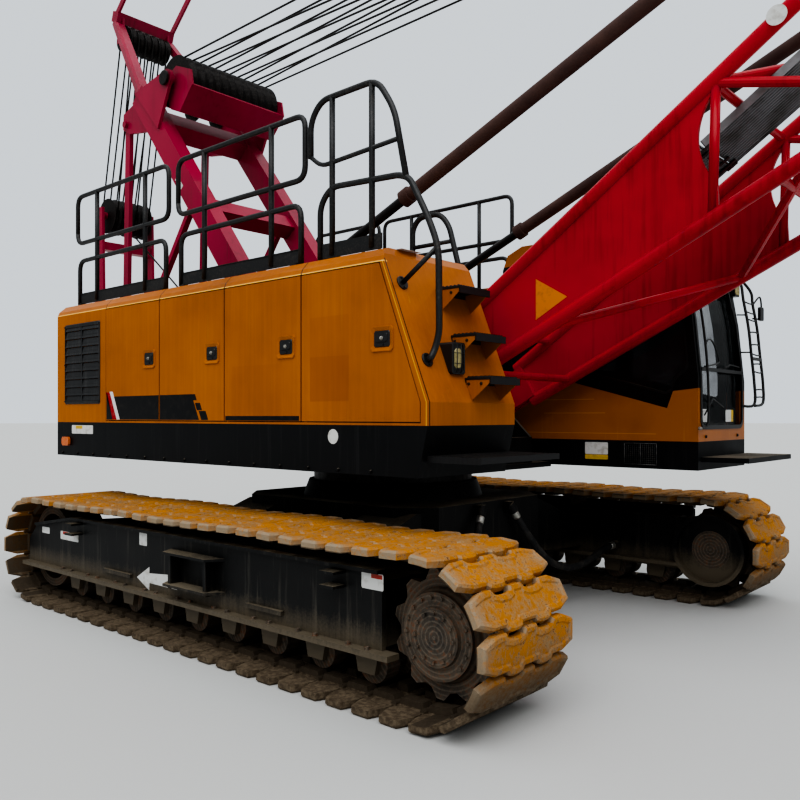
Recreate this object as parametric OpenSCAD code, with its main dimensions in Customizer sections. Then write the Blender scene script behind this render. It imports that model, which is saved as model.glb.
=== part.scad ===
// Crawler crane with a short lattice boom, standing as it is parked.
// X points forward along the boom, Y to the left and Z up, in millimetres.
// The origin is where the slewing axis meets the ground.

/* [Tracks] */
// Distance between the centres of the two tracks
track_gauge = 3490; // [3400:10:3700]
// Overall length of a track
track_length = 4960; // [4800:10:5300]
// Height over the top run of a track
track_height = 850; // [830:5:880]
// Width of one shoe
shoe_width = 760; // [700:10:800]
// Thickness of a shoe
shoe_thick = 45; // [38:1:48]
// Shoes in one track
shoe_count = 56; // [54:1:58]
// Length by which a shoe tapers at each end
shoe_taper = 95; // [60:5:120]
// Depth of the roller path inside the shoes
path_depth = 40; // [30:1:44]
// Width of the roller path
path_width = 440; // [400:5:480]
// Sag of the top run between its carrier rollers
top_sag = 14; // [0:1:18]
// Radius of a bottom roller
roller_r = 105; // [90:1:112]
// Bottom rollers in one track
roller_count = 9; // [8:1:9]
// Distance from a wheel axle to the nearest bottom roller
roller_back = 475; // [460:5:520]
// Radius of a carrier roller
carrier_r = 62; // [50:1:66]

/* [Track frames] */
// Width of the box of a track frame
frame_box_w = 480; // [450:5:500]
// Height of the underside of the frame box
frame_bottom = 300; // [295:1:310]
// Height of the top of the frame box
frame_top = 640; // [620:5:650]
// Distance from a wheel axle to the end of the frame box
frame_back = 365; // [345:5:400]
// Thickness of the frame's side plates
frame_plate = 30; // [20:1:32]
// Width of the lip under the side plate
lip_w = 60; // [40:2:80]
// Reach of the side steps beyond the side plate
step_reach = 110; // [80:5:120]

/* [Car body] */
// Half length of the middle box of the car body
body_half_x = 1000; // [950:10:1100]
// Half width of the middle box
body_half_y = 850; // [820:10:900]
// Height of the top of the middle box
body_top = 860; // [850:5:880]
// Height of the underside of the middle box
body_bottom = 430; // [400:10:460]
// Width of a cross beam
beam_w = 430; // [380:10:480]
// Distance of each cross beam from the slewing axis
beam_x = 700; // [680:10:720]
// Outer radius of the slewing ring
slew_r = 650; // [600:10:680]
// Width of each race of the slewing ring
race_w = 130; // [100:5:140]

/* [Upper frame] */
// Height of the underside of the upper frame
upper_bottom = 1090; // [1080:5:1110]
// Height of the top of the decks on which the houses stand
deck_top = 1440; // [1430:5:1450]
// Depth of the black skirt under the houses
skirt_depth = 290; // [260:5:300]
// Distance of the side faces of the upper from the middle
upper_side = 1600; // [1580:5:1620]
// Distance of the inner faces of the houses from the middle
house_inner = 760; // [740:5:780]
// Rear face of the houses
house_rear = -2600; // [-2650:10:-2550]
// Rear end of the tail frame
tail_rear = -4500; // [-4600:10:-4400]
// Distance of the main webs from the middle
web_y = 435; // [430:1:440]
// Thickness of the main webs
web_t = 30; // [24:1:36]
// Height of the top of the main webs
web_top = 1540; // [1520:5:1550]

/* [Houses] */
// Thickness of the house walls and doors
house_wall = 34; // [28:1:40]
// Height of the right-hand roof
right_roof = 2480; // [2440:10:2520]
// Height of the left-hand roof
left_roof = 2600; // [2560:10:2640]
// Front of the right-hand house at its foot
right_front = 1710; // [1690:5:1720]
// Front of the left-hand house
left_front = 470; // [440:5:500]
// Gap round each door
door_gap = 7; // [6:1:8]
// Height of the crease along the top of the doors
crease_z = 2380; // [2360:5:2390]

/* [Cab] */
// Rear face of the cab
cab_rear = 600; // [580:5:640]
// Front face of the cab
cab_front = 2270; // [2240:5:2290]
// Inner face of the cab
cab_inner = 720; // [710:5:740]
// Outer face of the cab
cab_outer = 1650; // [1640:5:1680]
// Height of the cab floor's underside
cab_floor = 1310; // [1300:5:1320]
// Height of the cab roof
cab_roof = 2900; // [2880:5:2920]
// Thickness of the cab walls
cab_wall = 46; // [40:1:50]
// Thickness of the window glass
glass_t = 6; // [5:1:8]

/* [Boom] */
// Distance of the boom foot pin in front of the slewing axis
foot_x = 610; // [600:5:630]
// Height of the boom foot pin
foot_z = 1580; // [1570:5:1600]
// Angle of the boom above the horizontal
boom_angle = 30.4; // [29:0.2:32]
// Length of the foot section
butt_len = 6500; // [6400:50:6600]
// Length of the head section
tip_len = 6500; // [6400:50:6600]
// Distance of the chord centres from the boom's side centre
boom_half_w = 600; // [590:5:610]
// Half depth of the boom at its foot
foot_half = 127; // [120:1:135]
// Half depth of the boom where the sections join
joint_half = 600; // [590:5:610]
// Half depth of the boom at its head
head_half = 230; // [210:5:260]
// Half width of the boom at its head
head_half_w = 330; // [310:5:350]
// Radius of a chord tube
chord_r = 45; // [38:1:48]
// Radius of a lacing tube
lacing_r = 27; // [22:1:30]
// Distance from the joint of the sections back to the backstops' eyes
stop_back = 576; // [560:8:900]
// Length of the solid side plate at the foot
side_plate_len = 2650; // [2600:10:2700]
// Radius of a boom foot pin
foot_pin_r = 50; // [45:1:55]
// Radius of the head sheaves
head_sheave_r = 260; // [240:5:280]
// Radius of the bores for a jib pin in the head plates
jib_pin_r = 30; // [25:1:35]

/* [Gantry] */
// Foot of the gantry legs
leg_foot_x = -470; // [-500:5:-450]
// Distance of the gantry legs from the middle
leg_y = 540; // [530:2:546]
// Width of a gantry leg
leg_w = 150; // [130:2:156]
// Depth of a gantry leg
leg_d = 230; // [200:5:260]
// Distance of the gantry head behind the slewing axis
head_x = -3850; // [-3900:10:-3800]
// Height of the gantry head
gantry_head_z = 5930; // [5900:10:5960]
// Half width of the gantry head
head_y = 310; // [300:5:330]
// Radius of the sheaves of the luffing nest
nest_r = 250; // [230:5:260]
// Sheaves in the luffing nest
nest_count = 12; // [10:1:12]
// Distance of the nest axle behind the slewing axis
nest_x = -2380; // [-2420:5:-2360]
// Height of the nest axle
nest_z = 4750; // [4730:5:4780]

/* [Backstops and stays] */
// Radius of a backstop rod
rod_r = 34; // [30:1:36]
// Outer radius of a backstop tube
stop_tube_r = 48; // [46:1:52]
// Distance of the backstops from the middle
stop_y = 712; // [706:1:724]
// Radius of a stay
stay_r = 16; // [12:1:20]

/* [Hidden] */
fit = 0.3;
run_fit = 0.08;
move_gap = 6;

// Track loop, in the plane of the side frame
end_r = track_height / 2;
pin_r = end_r - shoe_thick;
wheel_x = track_length / 2 - end_r;
frame_half = wheel_x - frame_back;
roller_pitch = 2 * (wheel_x - roller_back) / (roller_count - 1);
run_len = 2 * wheel_x;
arc_len = PI * pin_r;
loop_len = 2 * (run_len + arc_len);
shoe_pitch = loop_len / shoe_count;
shoe_gap = 9;
track_y = track_gauge / 2;
path_inside = shoe_thick + path_depth;
wheel_r = sqrt(pin_r * pin_r - shoe_pitch * shoe_pitch / 4) - path_depth - 4;
roller_z = path_inside + fit + roller_r;
carrier_x = wheel_x / 3;
carrier_z = track_height - path_inside - fit - carrier_r;

// Place along the loop, from the rear end of the top run and round the front
function sag_at(x) = top_sag * pow(sin(180 * (x + wheel_x) * 3 / run_len), 2);
function loop_point(s) =
    s < run_len ? [s - wheel_x, end_r + pin_r - sag_at(s - wheel_x)] :
    s < run_len + arc_len ?
        let (a = (s - run_len) / pin_r * 180 / PI) [wheel_x + pin_r * sin(a), end_r + pin_r * cos(a)] :
    s < 2 * run_len + arc_len ? [wheel_x - (s - run_len - arc_len), end_r - pin_r] :
    let (a = (s - 2 * run_len - arc_len) / pin_r * 180 / PI)
        [-wheel_x - pin_r * sin(a), end_r - pin_r * cos(a)];
shoe_pins = [for (i = [0 : shoe_count]) loop_point((i % shoe_count + 0.35) * shoe_pitch)];
function pin_normal(i) =
    let (d = shoe_pins[(i + 1) % shoe_count] - shoe_pins[(i + shoe_count - 1) % shoe_count])
        [-d[1], d[0]] / norm(d);

// Boom: s runs along its axis from the foot pin, n at right angles to it, upwards
boom_len = butt_len + tip_len;
taper_end = boom_len - 700;
function half_depth(s) = s < butt_len ?
    foot_half + (joint_half - foot_half) * s / butt_len :
    joint_half + (head_half - joint_half) * (s - butt_len) / (taper_end - butt_len);
function half_width(s) = s < butt_len ? boom_half_w :
    boom_half_w + (head_half_w - boom_half_w) * (s - butt_len) / (taper_end - butt_len);
function chord_point(s, top, side) = [s, side * half_width(s), top * half_depth(s)];
ear_t = 100;
arm_t = 25;
tray_t = 16;

// Hinge pins of the doors: from the door's edge, from its outer face, radius
hinge_in = 26;
hinge_back = 9;
hinge_r = 5;
nest_axle_r = 40;

// Gantry legs
leg_pin_r = 40;
leg_foot_z = web_top + leg_d / 2 + fit;
leg_top = [-2946, 4750];
leg_angle = atan2(leg_top[1] - leg_foot_z, leg_top[0] - leg_foot_x);
function on_leg(z) = leg_foot_x + (z - leg_foot_z) * (leg_top[0] - leg_foot_x) / (leg_top[1] - leg_foot_z);
stop_pin = [-1000, 2270];
stop_s = butt_len - stop_back;
stop_boss = [stop_s, half_depth(stop_s) - chord_r];
stop_eye = [foot_x + stop_boss[0] * cos(boom_angle) - stop_boss[1] * sin(boom_angle),
    foot_z + stop_boss[0] * sin(boom_angle) + stop_boss[1] * cos(boom_angle)];
stop_len = norm(stop_eye - stop_pin);
stop_angle = atan2(stop_eye[1] - stop_pin[1], stop_eye[0] - stop_pin[0]);
stop_tube_start = 1900;
stop_rod_end = 3700;

// Stays from the bridle to the boom head
stay_pin_s = boom_len - 250;
stay_pin_n = head_half + 110;
bridle = [3200, 5050];
tip_x = foot_x + stay_pin_s * cos(boom_angle) - stay_pin_n * sin(boom_angle);
tip_z = foot_z + stay_pin_s * sin(boom_angle) + stay_pin_n * cos(boom_angle);
hook_s = boom_len - 60;
hook_n = -head_half - chord_r - head_sheave_r - 20;
hook_x = foot_x + hook_s * cos(boom_angle) - hook_n * sin(boom_angle);
hook_z = foot_z + hook_s * sin(boom_angle) + hook_n * cos(boom_angle);

// Doors of the right-hand house: rear edge, front edge
right_doors = [[-1750, -945], [-945, -126], [-126, 674], [674, 1660]];
// Doors of the left-hand house: rear edge, front edge
left_doors = [[-1950, -850], [-850, 250]];

// Hose bundle of the left-hand travel motor, from the car body to the track frame
hose_r = 27;
hose_points = [[1050, 215, 765], [1068, 262, 690], [1088, 315, 612], [1108, 372, 535],
    [1128, 435, 460], [1148, 508, 392], [1166, 592, 335], [1182, 688, 297], [1196, 790, 278],
    [1208, 895, 276], [1218, 1000, 290], [1226, 1100, 315], [1232, 1195, 344], [1237, 1290, 371],
    [1240, 1375, 385], [1240, 1440, 385]];

// Mirrors its children to the right-hand side when side is -1
module on_side(side) {
    mirror([0, side < 0 ? 1 : 0, 0])
        children();
}

// Outline in X and Z, extruded from y0 to y1
module side_plate(points, y0, y1) {
    translate([0, y1, 0])
        rotate([90, 0, 0])
            linear_extrude(y1 - y0)
                polygon(points);
}

// Round bar between two points
module bar(a, b, r, facets = 24) {
    d = b - a;
    translate(a)
        rotate([0, acos(d[2] / norm(d)), atan2(d[1], d[0])])
            cylinder(r = r, h = norm(d), $fn = facets);
}

// Round bar along Y
module cross_bar(x, z, r, y0, y1, facets = 48) {
    translate([x, y1, z])
        rotate([90, 0, 0])
            cylinder(r = r, h = y1 - y0, $fn = facets);
}

// Block between two corners
module block(low, high) {
    translate(low)
        cube(high - low);
}

// Square bar in the X and Z plane between two points, its depth d across its length
module leg_bar(a, b, d, y0, y1) {
    along = (b - a) / norm(b - a);
    across = [-along[1], along[0]] * d / 2;
    side_plate([a - across, b - across, b + across, a + across], y0, y1);
}

// Bent pipe through a list of points, with ball corners
module pipe(points, r) {
    for (i = [0 : len(points) - 2])
        bar(points[i], points[i + 1], r, 16);
    for (i = [points[0] == points[len(points) - 1] ? 0 : 1 : 1 : len(points) - 2])
        translate(points[i])
            sphere(r = r * 1.12, $fn = 16);
}

// Rectangle with its corners cut off
module cut_rectangle(half_x, half_y, corner) {
    polygon([[half_x, -half_y + corner], [half_x, half_y - corner], [half_x - corner, half_y],
        [-half_x + corner, half_y], [-half_x, half_y - corner], [-half_x, -half_y + corner],
        [-half_x + corner, -half_y], [half_x - corner, -half_y]]);
}

// Tube through a list of points, its first and last rings square to its ends
module swept_tube(points, r, sides) {
    count = len(points);
    function ahead(i) = let (d = points[min(i + 1, count - 1)] - points[max(i - 1, 0)]) d / norm(d);
    function ring(i) =
        let (t = ahead(i), u = cross(t, [1, 0, 0]) / norm(cross(t, [1, 0, 0])), v = cross(t, u))
        [for (k = [0 : sides - 1]) points[i] + r * (cos(360 * k / sides) * u + sin(360 * k / sides) * v)];
    polyhedron(
        [for (i = [0 : count - 1]) each ring(i)],
        concat([[for (k = [0 : sides - 1]) k]],
            [for (i = [0 : count - 2], k = [0 : sides - 1])
                let (next = (k + 1) % sides)
                [i * sides + k, (i + 1) * sides + k, (i + 1) * sides + next, i * sides + next]],
            [[for (k = [sides - 1 : -1 : 0]) (count - 1) * sides + k]]));
}

// Hose bundle of one travel motor
module hose(side) {
    color("#1b1b1c")
        on_side(side)
            swept_tube(hose_points, hose_r, 12);
}

module car_body() {
    frame_face = track_y - frame_box_w / 2 - fit;
    beam_end = 620;
    color("#202225") {
        translate([0, 0, body_bottom])
            linear_extrude(body_top - body_bottom)
                cut_rectangle(body_half_x, body_half_y, 220);
        for (x = [-beam_x, beam_x], side = [-1, 1])
            on_side(side)
                translate([x - beam_w / 2, 0, 0])
                    rotate([90, 0, 90])
                        linear_extrude(beam_w)
                            polygon([[0, body_bottom], [frame_face - 220, 350], [frame_face, 350],
                                [frame_face, beam_end], [frame_face - 170, beam_end],
                                [body_half_y - 80, body_top - 40], [0, body_top - 40]]);
        // Unions of the travel hoses
        for (side = [-1, 1])
            on_side(side) {
                start = hose_points[0];
                back = (hose_points[0] - hose_points[1]) / norm(hose_points[0] - hose_points[1]);
                bar(start + 75 * back, start, hose_r + 9, 32);
                block([body_half_x - 2, start[1] - 70, start[2] + 20], [start[0] + 5, start[1], start[2] + 80]);
            }
        translate([0, 0, body_top - 10])
            cylinder(r1 = slew_r + 90, r2 = slew_r + 40, h = upper_bottom - 105 - body_top + 10, $fn = 96);
    }
}

module slew_ring() {
    ring_h = 105 - move_gap;
    color("#3a3c3e")
        translate([0, 0, upper_bottom - 105])
            difference() {
                cylinder(r = slew_r, h = ring_h, $fn = 96);
                translate([0, 0, -1])
                    cylinder(r = slew_r - race_w, h = ring_h + 2, $fn = 96);
                for (a = [0 : 10 : 350])
                    rotate(a)
                        translate([slew_r - race_w / 3, 0, ring_h - 12])
                            cylinder(r = 16, h = 13, $fn = 6);
            }
}

// Side frame of one track: a box beam with a fork for the idler and a rim round the sprocket
module track_frame(side) {
    half_w = frame_box_w / 2;
    fork_end = -wheel_x - 235;
    ledge_x = 555 - wheel_x;
    lip_z = frame_bottom - 28;
    pockets = [[-1035, -660], [640, 965]];
    pocket_depth = 125;
    steps = [[-185, 410]];
    color("#1c1d1f")
        on_side(side)
            translate([0, track_y, 0]) {
                difference() {
                    side_plate([[-frame_half, frame_bottom], [frame_half, frame_bottom],
                        [frame_half, frame_top], [-frame_half, frame_top]], -half_w, half_w);
                    for (p = pockets)
                        block([p[0], half_w - pocket_depth, 365], [p[1], half_w + 1, frame_top - 20]);
                }
                for (p = pockets) {
                    side_plate([[p[1] - 20, 360], [p[1] + 1, 360], [p[1] + 1, frame_top - 15],
                        [p[1] - 20, frame_top - 15], [p[1] - 110, 365 + 60]],
                        half_w - pocket_depth - 1, half_w - 60);
                    block([p[0] - 1, half_w - pocket_depth - 1, 360], [p[1] + 1, half_w + 25, 385]);
                }
                // Ledge along the top of the outer plate and lip under both plates
                side_plate([[fork_end + 170, 600], [ledge_x, frame_top + 55], [frame_half + 40, frame_top + 55],
                    [frame_half + 40, frame_top + 75], [ledge_x - 20, frame_top + 75], [fork_end + 160, 622]],
                    half_w - frame_plate, half_w + 35);
                for (face = [-1, 1])
                    block([fork_end, face > 0 ? half_w - frame_plate : -half_w - lip_w, lip_z],
                        [frame_half + 130, face > 0 ? half_w + lip_w : -half_w + frame_plate,
                        frame_bottom + 2]);
                // Outer plate, open round the final drive, and the fork round the idler
                side_plate([[fork_end, frame_bottom], [frame_half + 40, frame_bottom],
                    [frame_half + 40, frame_top + 60], [ledge_x, frame_top + 60], [fork_end + 130, 600],
                    [fork_end, 480]], half_w - frame_plate, half_w);
                difference() {
                    union() {
                        side_plate([[fork_end, frame_bottom], [wheel_x, frame_bottom - 60],
                            [wheel_x, frame_top + 30], [ledge_x, frame_top + 30], [fork_end + 130, 600],
                            [fork_end, 480]], -half_w, -half_w + frame_plate);
                        cross_bar(wheel_x, end_r, 285, -half_w, -half_w + frame_plate, 96);
                    }
                    cross_bar(wheel_x, end_r, 150 + fit, -half_w - 1, -half_w + frame_plate + 1, 96);
                }
                difference() {
                    cross_bar(wheel_x, end_r, 285, -half_w - 60, -half_w + 2, 96);
                    cross_bar(wheel_x, end_r, 255, -half_w - 61, -half_w + 3, 96);
                }
                // Union of the travel hose
                hose_end = hose_points[len(hose_points) - 1];
                cross_bar(hose_end[0], hose_end[2], hose_r + 9, hose_end[1] - track_y, -half_w + 2, 32);
                // Boarding step of two levels
                for (p = steps) {
                    for (z = [395, 600])
                        linear_step(p[0], p[1], z, half_w);
                    for (x = [p[0] + 90, p[1] - 120])
                        block([x, half_w - 2, 380], [x + 30, half_w + step_reach - 30, 600]);
                }
                // Pairs of small step bars
                for (x = [-1440, 1410], z = [590, 665])
                    block([x - 55, half_w - 2, z], [x + 55, half_w + step_reach - 20, z + 14]);
                // Feet that hold the bottom rollers, and posts of the carrier rollers
                for (i = [0 : roller_count - 1], face = [-1, 1])
                    roller_foot((i - (roller_count - 1) / 2) * roller_pitch, face);
                for (x = [-carrier_x, carrier_x], face = [-1, 1])
                    block([x - 50, face * 150 - 14, frame_top - 2], [x + 50, face * 150 + 14, carrier_z + 30]);
            }
}

// Tread of the boarding step: a plate with cut corners
module linear_step(x0, x1, z, half_w) {
    translate([0, half_w - 2, z])
        linear_extrude(16)
            polygon([[x0, 0], [x1, 0], [x1 - 70, step_reach], [x0 + 70, step_reach]]);
}

// Foot under the frame that carries one end of a bottom roller
module roller_foot(x, face) {
    inner = path_width / 2 - 55;
    outer = inner + 36;
    side_plate([[x - 95, frame_bottom - 25 + 27], [x - 60, roller_z - 40], [x + 60, roller_z - 40],
        [x + 95, frame_bottom - 25 + 27]], face > 0 ? inner : -outer, face > 0 ? outer : -inner);
}

// One shoe between two neighbouring pins, its pad facing out of the loop
module track_shoe(a, b) {
    d = b - a;
    angle = atan2(d[1], d[0]);
    half_l = norm(d) / 2 - shoe_gap / 2;
    half_w = shoe_width / 2;
    translate([(a[0] + b[0]) / 2, 0, (a[1] + b[1]) / 2])
        rotate([0, -angle, 0])
            linear_extrude(shoe_thick)
                polygon([[half_l, -half_w + shoe_taper], [half_l, half_w - shoe_taper],
                    [half_l * 0.62, half_w], [-half_l * 0.62, half_w],
                    [-half_l, half_w - shoe_taper], [-half_l, -half_w + shoe_taper],
                    [-half_l * 0.62, -half_w], [half_l * 0.62, -half_w]]);
}

// Track of one side: its shoes and the roller path inside them, as one closed loop
module track_belt(side) {
    pins = [for (i = [0 : shoe_count - 1]) shoe_pins[i]];
    color("#b98a1e")
        translate([0, side * track_y, 0]) {
            for (i = [0 : shoe_count - 1])
                track_shoe(shoe_pins[i], shoe_pins[(i + 1) % shoe_count]);
            difference() {
                side_plate([for (i = [0 : shoe_count - 1]) pins[i] + 4 * pin_normal(i)],
                    -path_width / 2, path_width / 2);
                side_plate([for (i = [0 : shoe_count - 1]) pins[i] - path_depth * pin_normal(i)],
                    -path_width / 2 - 1, path_width / 2 + 1);
            }
        }
}

// Sprocket of one track with the drum of its final drive
module drive_wheel(side) {
    teeth = 11;
    face = shoe_width / 2 - 180;
    inner = -frame_box_w / 2;
    color("#26241f")
        on_side(side)
            translate([wheel_x, track_y, end_r])
                rotate([90, 0, 0]) {
                    for (y = [-120, 120])
                        translate([0, 0, y - 25])
                            linear_extrude(50)
                                polygon([for (i = [0 : 4 * teeth - 1])
                                    let (a = 90 * i / teeth, r = i % 4 < 2 ? wheel_r : wheel_r - 42)
                                    [r * cos(a), r * sin(a)]]);
                    rotate([180, 0, 0]) {
                        rotate_extrude($fn = 96)
                            polygon([[0, inner], [150, inner], [150, -165], [235, -165], [235, face - 55],
                                [215, face - 20], [215, face], [150, face], [145, face + 22], [0, face + 22]]);
                    }
                }
}

// Idler of one track: a spoked wheel with two treads, on an axle held by the fork
module idler(side) {
    half_axle = frame_box_w / 2 - frame_plate - fit;
    color("#2a2723")
        on_side(side)
            translate([-wheel_x, track_y, end_r])
                rotate([90, 0, 0])
                    difference() {
                        rotate_extrude($fn = 96)
                            polygon([[0, -half_axle], [70, -half_axle], [70, -150], [130, -150],
                                [130, -40], [wheel_r - 70, -40], [wheel_r - 60, -150], [wheel_r, -150],
                                [wheel_r, -60], [wheel_r - 22, -50], [wheel_r - 22, 50], [wheel_r, 60],
                                [wheel_r, 150], [wheel_r - 60, 150], [wheel_r - 70, 40], [130, 40],
                                [130, 150], [70, 150], [70, half_axle], [0, half_axle]]);
                        for (a = [0 : 60 : 300])
                            rotate(a)
                                translate([195, 0, -60])
                                    cylinder(r = 38, h = 120, $fn = 32);
                    }
}

// Bottom rollers and carrier rollers of one track
module rollers(side) {
    reach = path_width / 2 - 55 - fit;
    color("#2b2823")
        translate([0, side * track_y, 0]) {
            for (i = [0 : roller_count - 1])
                translate([(i - (roller_count - 1) / 2) * roller_pitch, 0, roller_z])
                    rotate([90, 0, 0])
                        rotate_extrude($fn = 48)
                            polygon([[0, -reach], [60, -reach], [roller_r, -reach + 15], [roller_r, -50],
                                [roller_r - 32, -40], [roller_r - 32, 40], [roller_r, 50],
                                [roller_r, reach - 15], [60, reach], [0, reach]]);
            for (x = [-carrier_x, carrier_x])
                cross_bar(x, carrier_z, carrier_r, -150 + 14 + fit, 150 - 14 - fit);
        }
}

// Black main frame of the upper: bottom plate, two webs, tail, outriggers and lugs
module upper_frame() {
    lug_outer = boom_half_w + ear_t / 2 + move_gap;
    ear_z = foot_z;
    color("#191a1c") {
        translate([0, 0, upper_bottom - 100])
            difference() {
                cylinder(r = slew_r - race_w - fit, h = 110, $fn = 96);
                translate([0, 0, -1])
                    cylinder(r = slew_r - 2 * race_w, h = 112, $fn = 96);
            }
        difference() {
            block([house_rear + 200, -700, upper_bottom], [1080, 700, upper_bottom + 40]);
            translate([0, 0, upper_bottom - 1])
                cylinder(r = 210, h = 42, $fn = 64);
        }
        for (side = [-1, 1])
            on_side(side) {
                // Main web, with its nose round the boom foot pin
                difference() {
                    side_plate([[tail_rear, 1290], [house_rear, 1240], [house_rear + 250, upper_bottom],
                        [1060, upper_bottom], [1060, 1330], [foot_x + 130, foot_z + 60],
                        [foot_x + 40, foot_z + 120], [foot_x - 90, foot_z + 110],
                        [foot_x - 300, web_top], [tail_rear, web_top]], web_y - web_t / 2, web_y + web_t / 2);
                    for (w = winches)
                        cross_bar(w[0], w[1], 60 + run_fit, web_y - web_t, web_y + web_t);
                    for (x = ballast_pins)
                        cross_bar(x, 1400, ballast_pin_r, web_y - web_t, web_y + web_t);
                }
                // Lugs on both sides of the boom ear, with the foot pin across them
                for (y = [[boom_half_w - ear_t / 2 - move_gap - 30, boom_half_w - ear_t / 2 - move_gap],
                    [lug_outer, lug_outer + 30]])
                    side_plate([[foot_x - 230, upper_bottom + 30], [foot_x + 190, upper_bottom + 30],
                        [foot_x + 120, foot_z + 50], [foot_x + 50, foot_z + 115],
                        [foot_x - 50, foot_z + 115], [foot_x - 120, foot_z + 50]], y[0], y[1]);
                cross_bar(foot_x, foot_z, foot_pin_r, web_y - web_t / 2, lug_outer + 55);
                // Outriggers that carry the decks
                for (x = [-2150, -600, 340])
                    block([x - 90, web_y, upper_bottom + 65], [x + 90, upper_side - 30, deck_top - tray_t - fit]);
                // Bracket of the gantry foot
                block([leg_foot_x - 260, web_y, web_top - 40],
                    [leg_foot_x + 240, leg_y + leg_w / 2 + 40, web_top]);
                difference() {
                    for (y = [leg_y - leg_w / 2 - 32, leg_y + leg_w / 2 + 2])
                        side_plate([[leg_foot_x - 200, web_top - 10], [leg_foot_x + 200, web_top - 10],
                            [leg_foot_x + 80, leg_foot_z + 90], [leg_foot_x - 80, leg_foot_z + 90]], y, y + 30);
                    cross_bar(leg_foot_x, leg_foot_z, leg_pin_r + fit, web_y - web_t, leg_y + leg_w);
                }
            }
        // Cross plates between the webs
        for (x = [tail_rear, -3300, -2350, 300])
            block([x, -web_y, x == 300 ? upper_bottom : 1290], [x + 30, web_y, 1520]);
        block([1000, -web_y, upper_bottom], [1060, web_y, 1330]);
        block([tail_rear, -web_y, 1290], [house_rear + 100, web_y, 1310]);
    }
}

// Places of the bores that hold a counterweight's pins
ballast_pins = [-4000, -2900];
ballast_pin_r = 35;

// Winches across the webs: distance along X and height of the shaft
winches = [[-130, 1540 - 30], [-1150, 1540 - 60], [-1900, 1540 - 60]];

// One winch: a grooved drum between flanges, its shaft ends in the webs
module winch(w) {
    drum_r = 190;
    flange_r = 300;
    half_drum = 330;
    shaft_end = web_y + web_t / 2;
    color("#3b3d3f")
        translate([w[0], 0, w[1]])
            rotate([90, 0, 0])
                rotate_extrude($fn = 96)
                    polygon(concat(
                        [[0, -shaft_end], [60, -shaft_end], [60, -half_drum - 40], [flange_r, -half_drum - 30],
                        [flange_r, -half_drum], [drum_r, -half_drum]],
                        [[drum_r, half_drum], [flange_r, half_drum], [flange_r, half_drum + 30],
                        [60, half_drum + 40], [60, shaft_end], [0, shaft_end]]));
}

// Black deck of one side: a tray with a deep skirt, open below between its outriggers
module deck(side, front_foot, front_head) {
    skirt_low = deck_top - skirt_depth;
    t = tray_t;
    color("#17181a")
        on_side(side)
            difference() {
                side_plate([[house_rear, skirt_low], [front_foot, skirt_low], [front_head, deck_top],
                    [house_rear, deck_top]], house_inner, upper_side);
                side_plate([[house_rear + t, skirt_low - 1], [front_foot - t, skirt_low - 1],
                    [front_head - t - 2, deck_top - t], [house_rear + t, deck_top - t]],
                    house_inner - 1, upper_side - t);
            }
}

// Black tray under the cab, with the beam that carries it out from the main frame
module cab_base() {
    t = 16;
    low = upper_bottom + 15;
    color("#17181a") {
        difference() {
            block([cab_rear - 40, cab_inner, low], [cab_front, cab_outer, cab_floor]);
            block([cab_rear - 40 + t, cab_inner + t, low - 1], [cab_front - t, cab_outer - t, cab_floor - t]);
        }
        block([860, 700 + fit, low], [1040, cab_outer - 10, cab_floor - t + 1]);
        // Catwalk in front of the cab
        block([cab_front - 2, cab_inner + 60, low + 60], [cab_front + 330, cab_outer + 60, low + 95]);
    }
}

// Section across a house, as seen along X: outer wall, crease, rounded edge, roof
module house_section(roof, inset) {
    rotate([90, 0, 90])
        linear_extrude(5000)
            polygon([[house_inner + inset, deck_top + fit + inset], [upper_side - inset, deck_top + fit + inset],
                [upper_side - inset, crease_z - inset / 3], [upper_side - 14 - inset, crease_z + 35 - inset / 2],
                [upper_side - 60 - inset / 2, roof - 14 - inset], [upper_side - 110, roof - inset],
                [house_inner + inset, roof - inset]]);
}

// Outline of a house seen from the side, drawn in by inset
function house_outline(front_low, front_knee, front_high, roof, inset) = [
    [house_rear + inset, deck_top + fit + inset], [front_low - inset, deck_top + fit + inset],
    [front_low - inset, front_knee], [front_high - inset, roof - 50], [front_high - 45 - inset, roof - inset],
    [house_rear + 45 + inset, roof - inset], [house_rear + inset, roof - 60 - inset]];

right_high = 1362;
right_knee = 1570;
door_low = deck_top + 14;

// Door outline, its front edge drawn back where it would pass the sloping front
function door_outline(d, gap) =
    let (slope_x = right_front - 60, slope = (right_front - right_high) / (right_roof - right_knee))
    d[1] > 1500 ?
        [[d[0] + gap, door_low + gap], [d[1] - gap, door_low + gap], [d[1] - gap, right_knee],
        [d[1] - gap - (crease_z - right_knee) * slope, crease_z - gap], [d[0] + gap, crease_z - gap]] :
        [[d[0] + gap, door_low + gap], [d[1] - gap, door_low + gap], [d[1] - gap, crease_z - gap],
        [d[0] + gap, crease_z - gap]];

// Pin along the hinge edge of a door, the wall's bores a little longer than the pin
module hinge_pin(x, y, low, high, r, more) {
    translate([x, y, low - 8 - more])
        cylinder(r = r, h = high - low + 16 + 2 * more, $fn = 32);
}

module door_opening(d, side) {
    on_side(side) {
        side_plate(door_outline(d, 0), upper_side - house_wall - 20, upper_side + 1);
        hinge_pin(d[0] + door_gap + hinge_in, upper_side - hinge_back, door_low, crease_z, hinge_r + run_fit, 1);
    }
}

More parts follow.
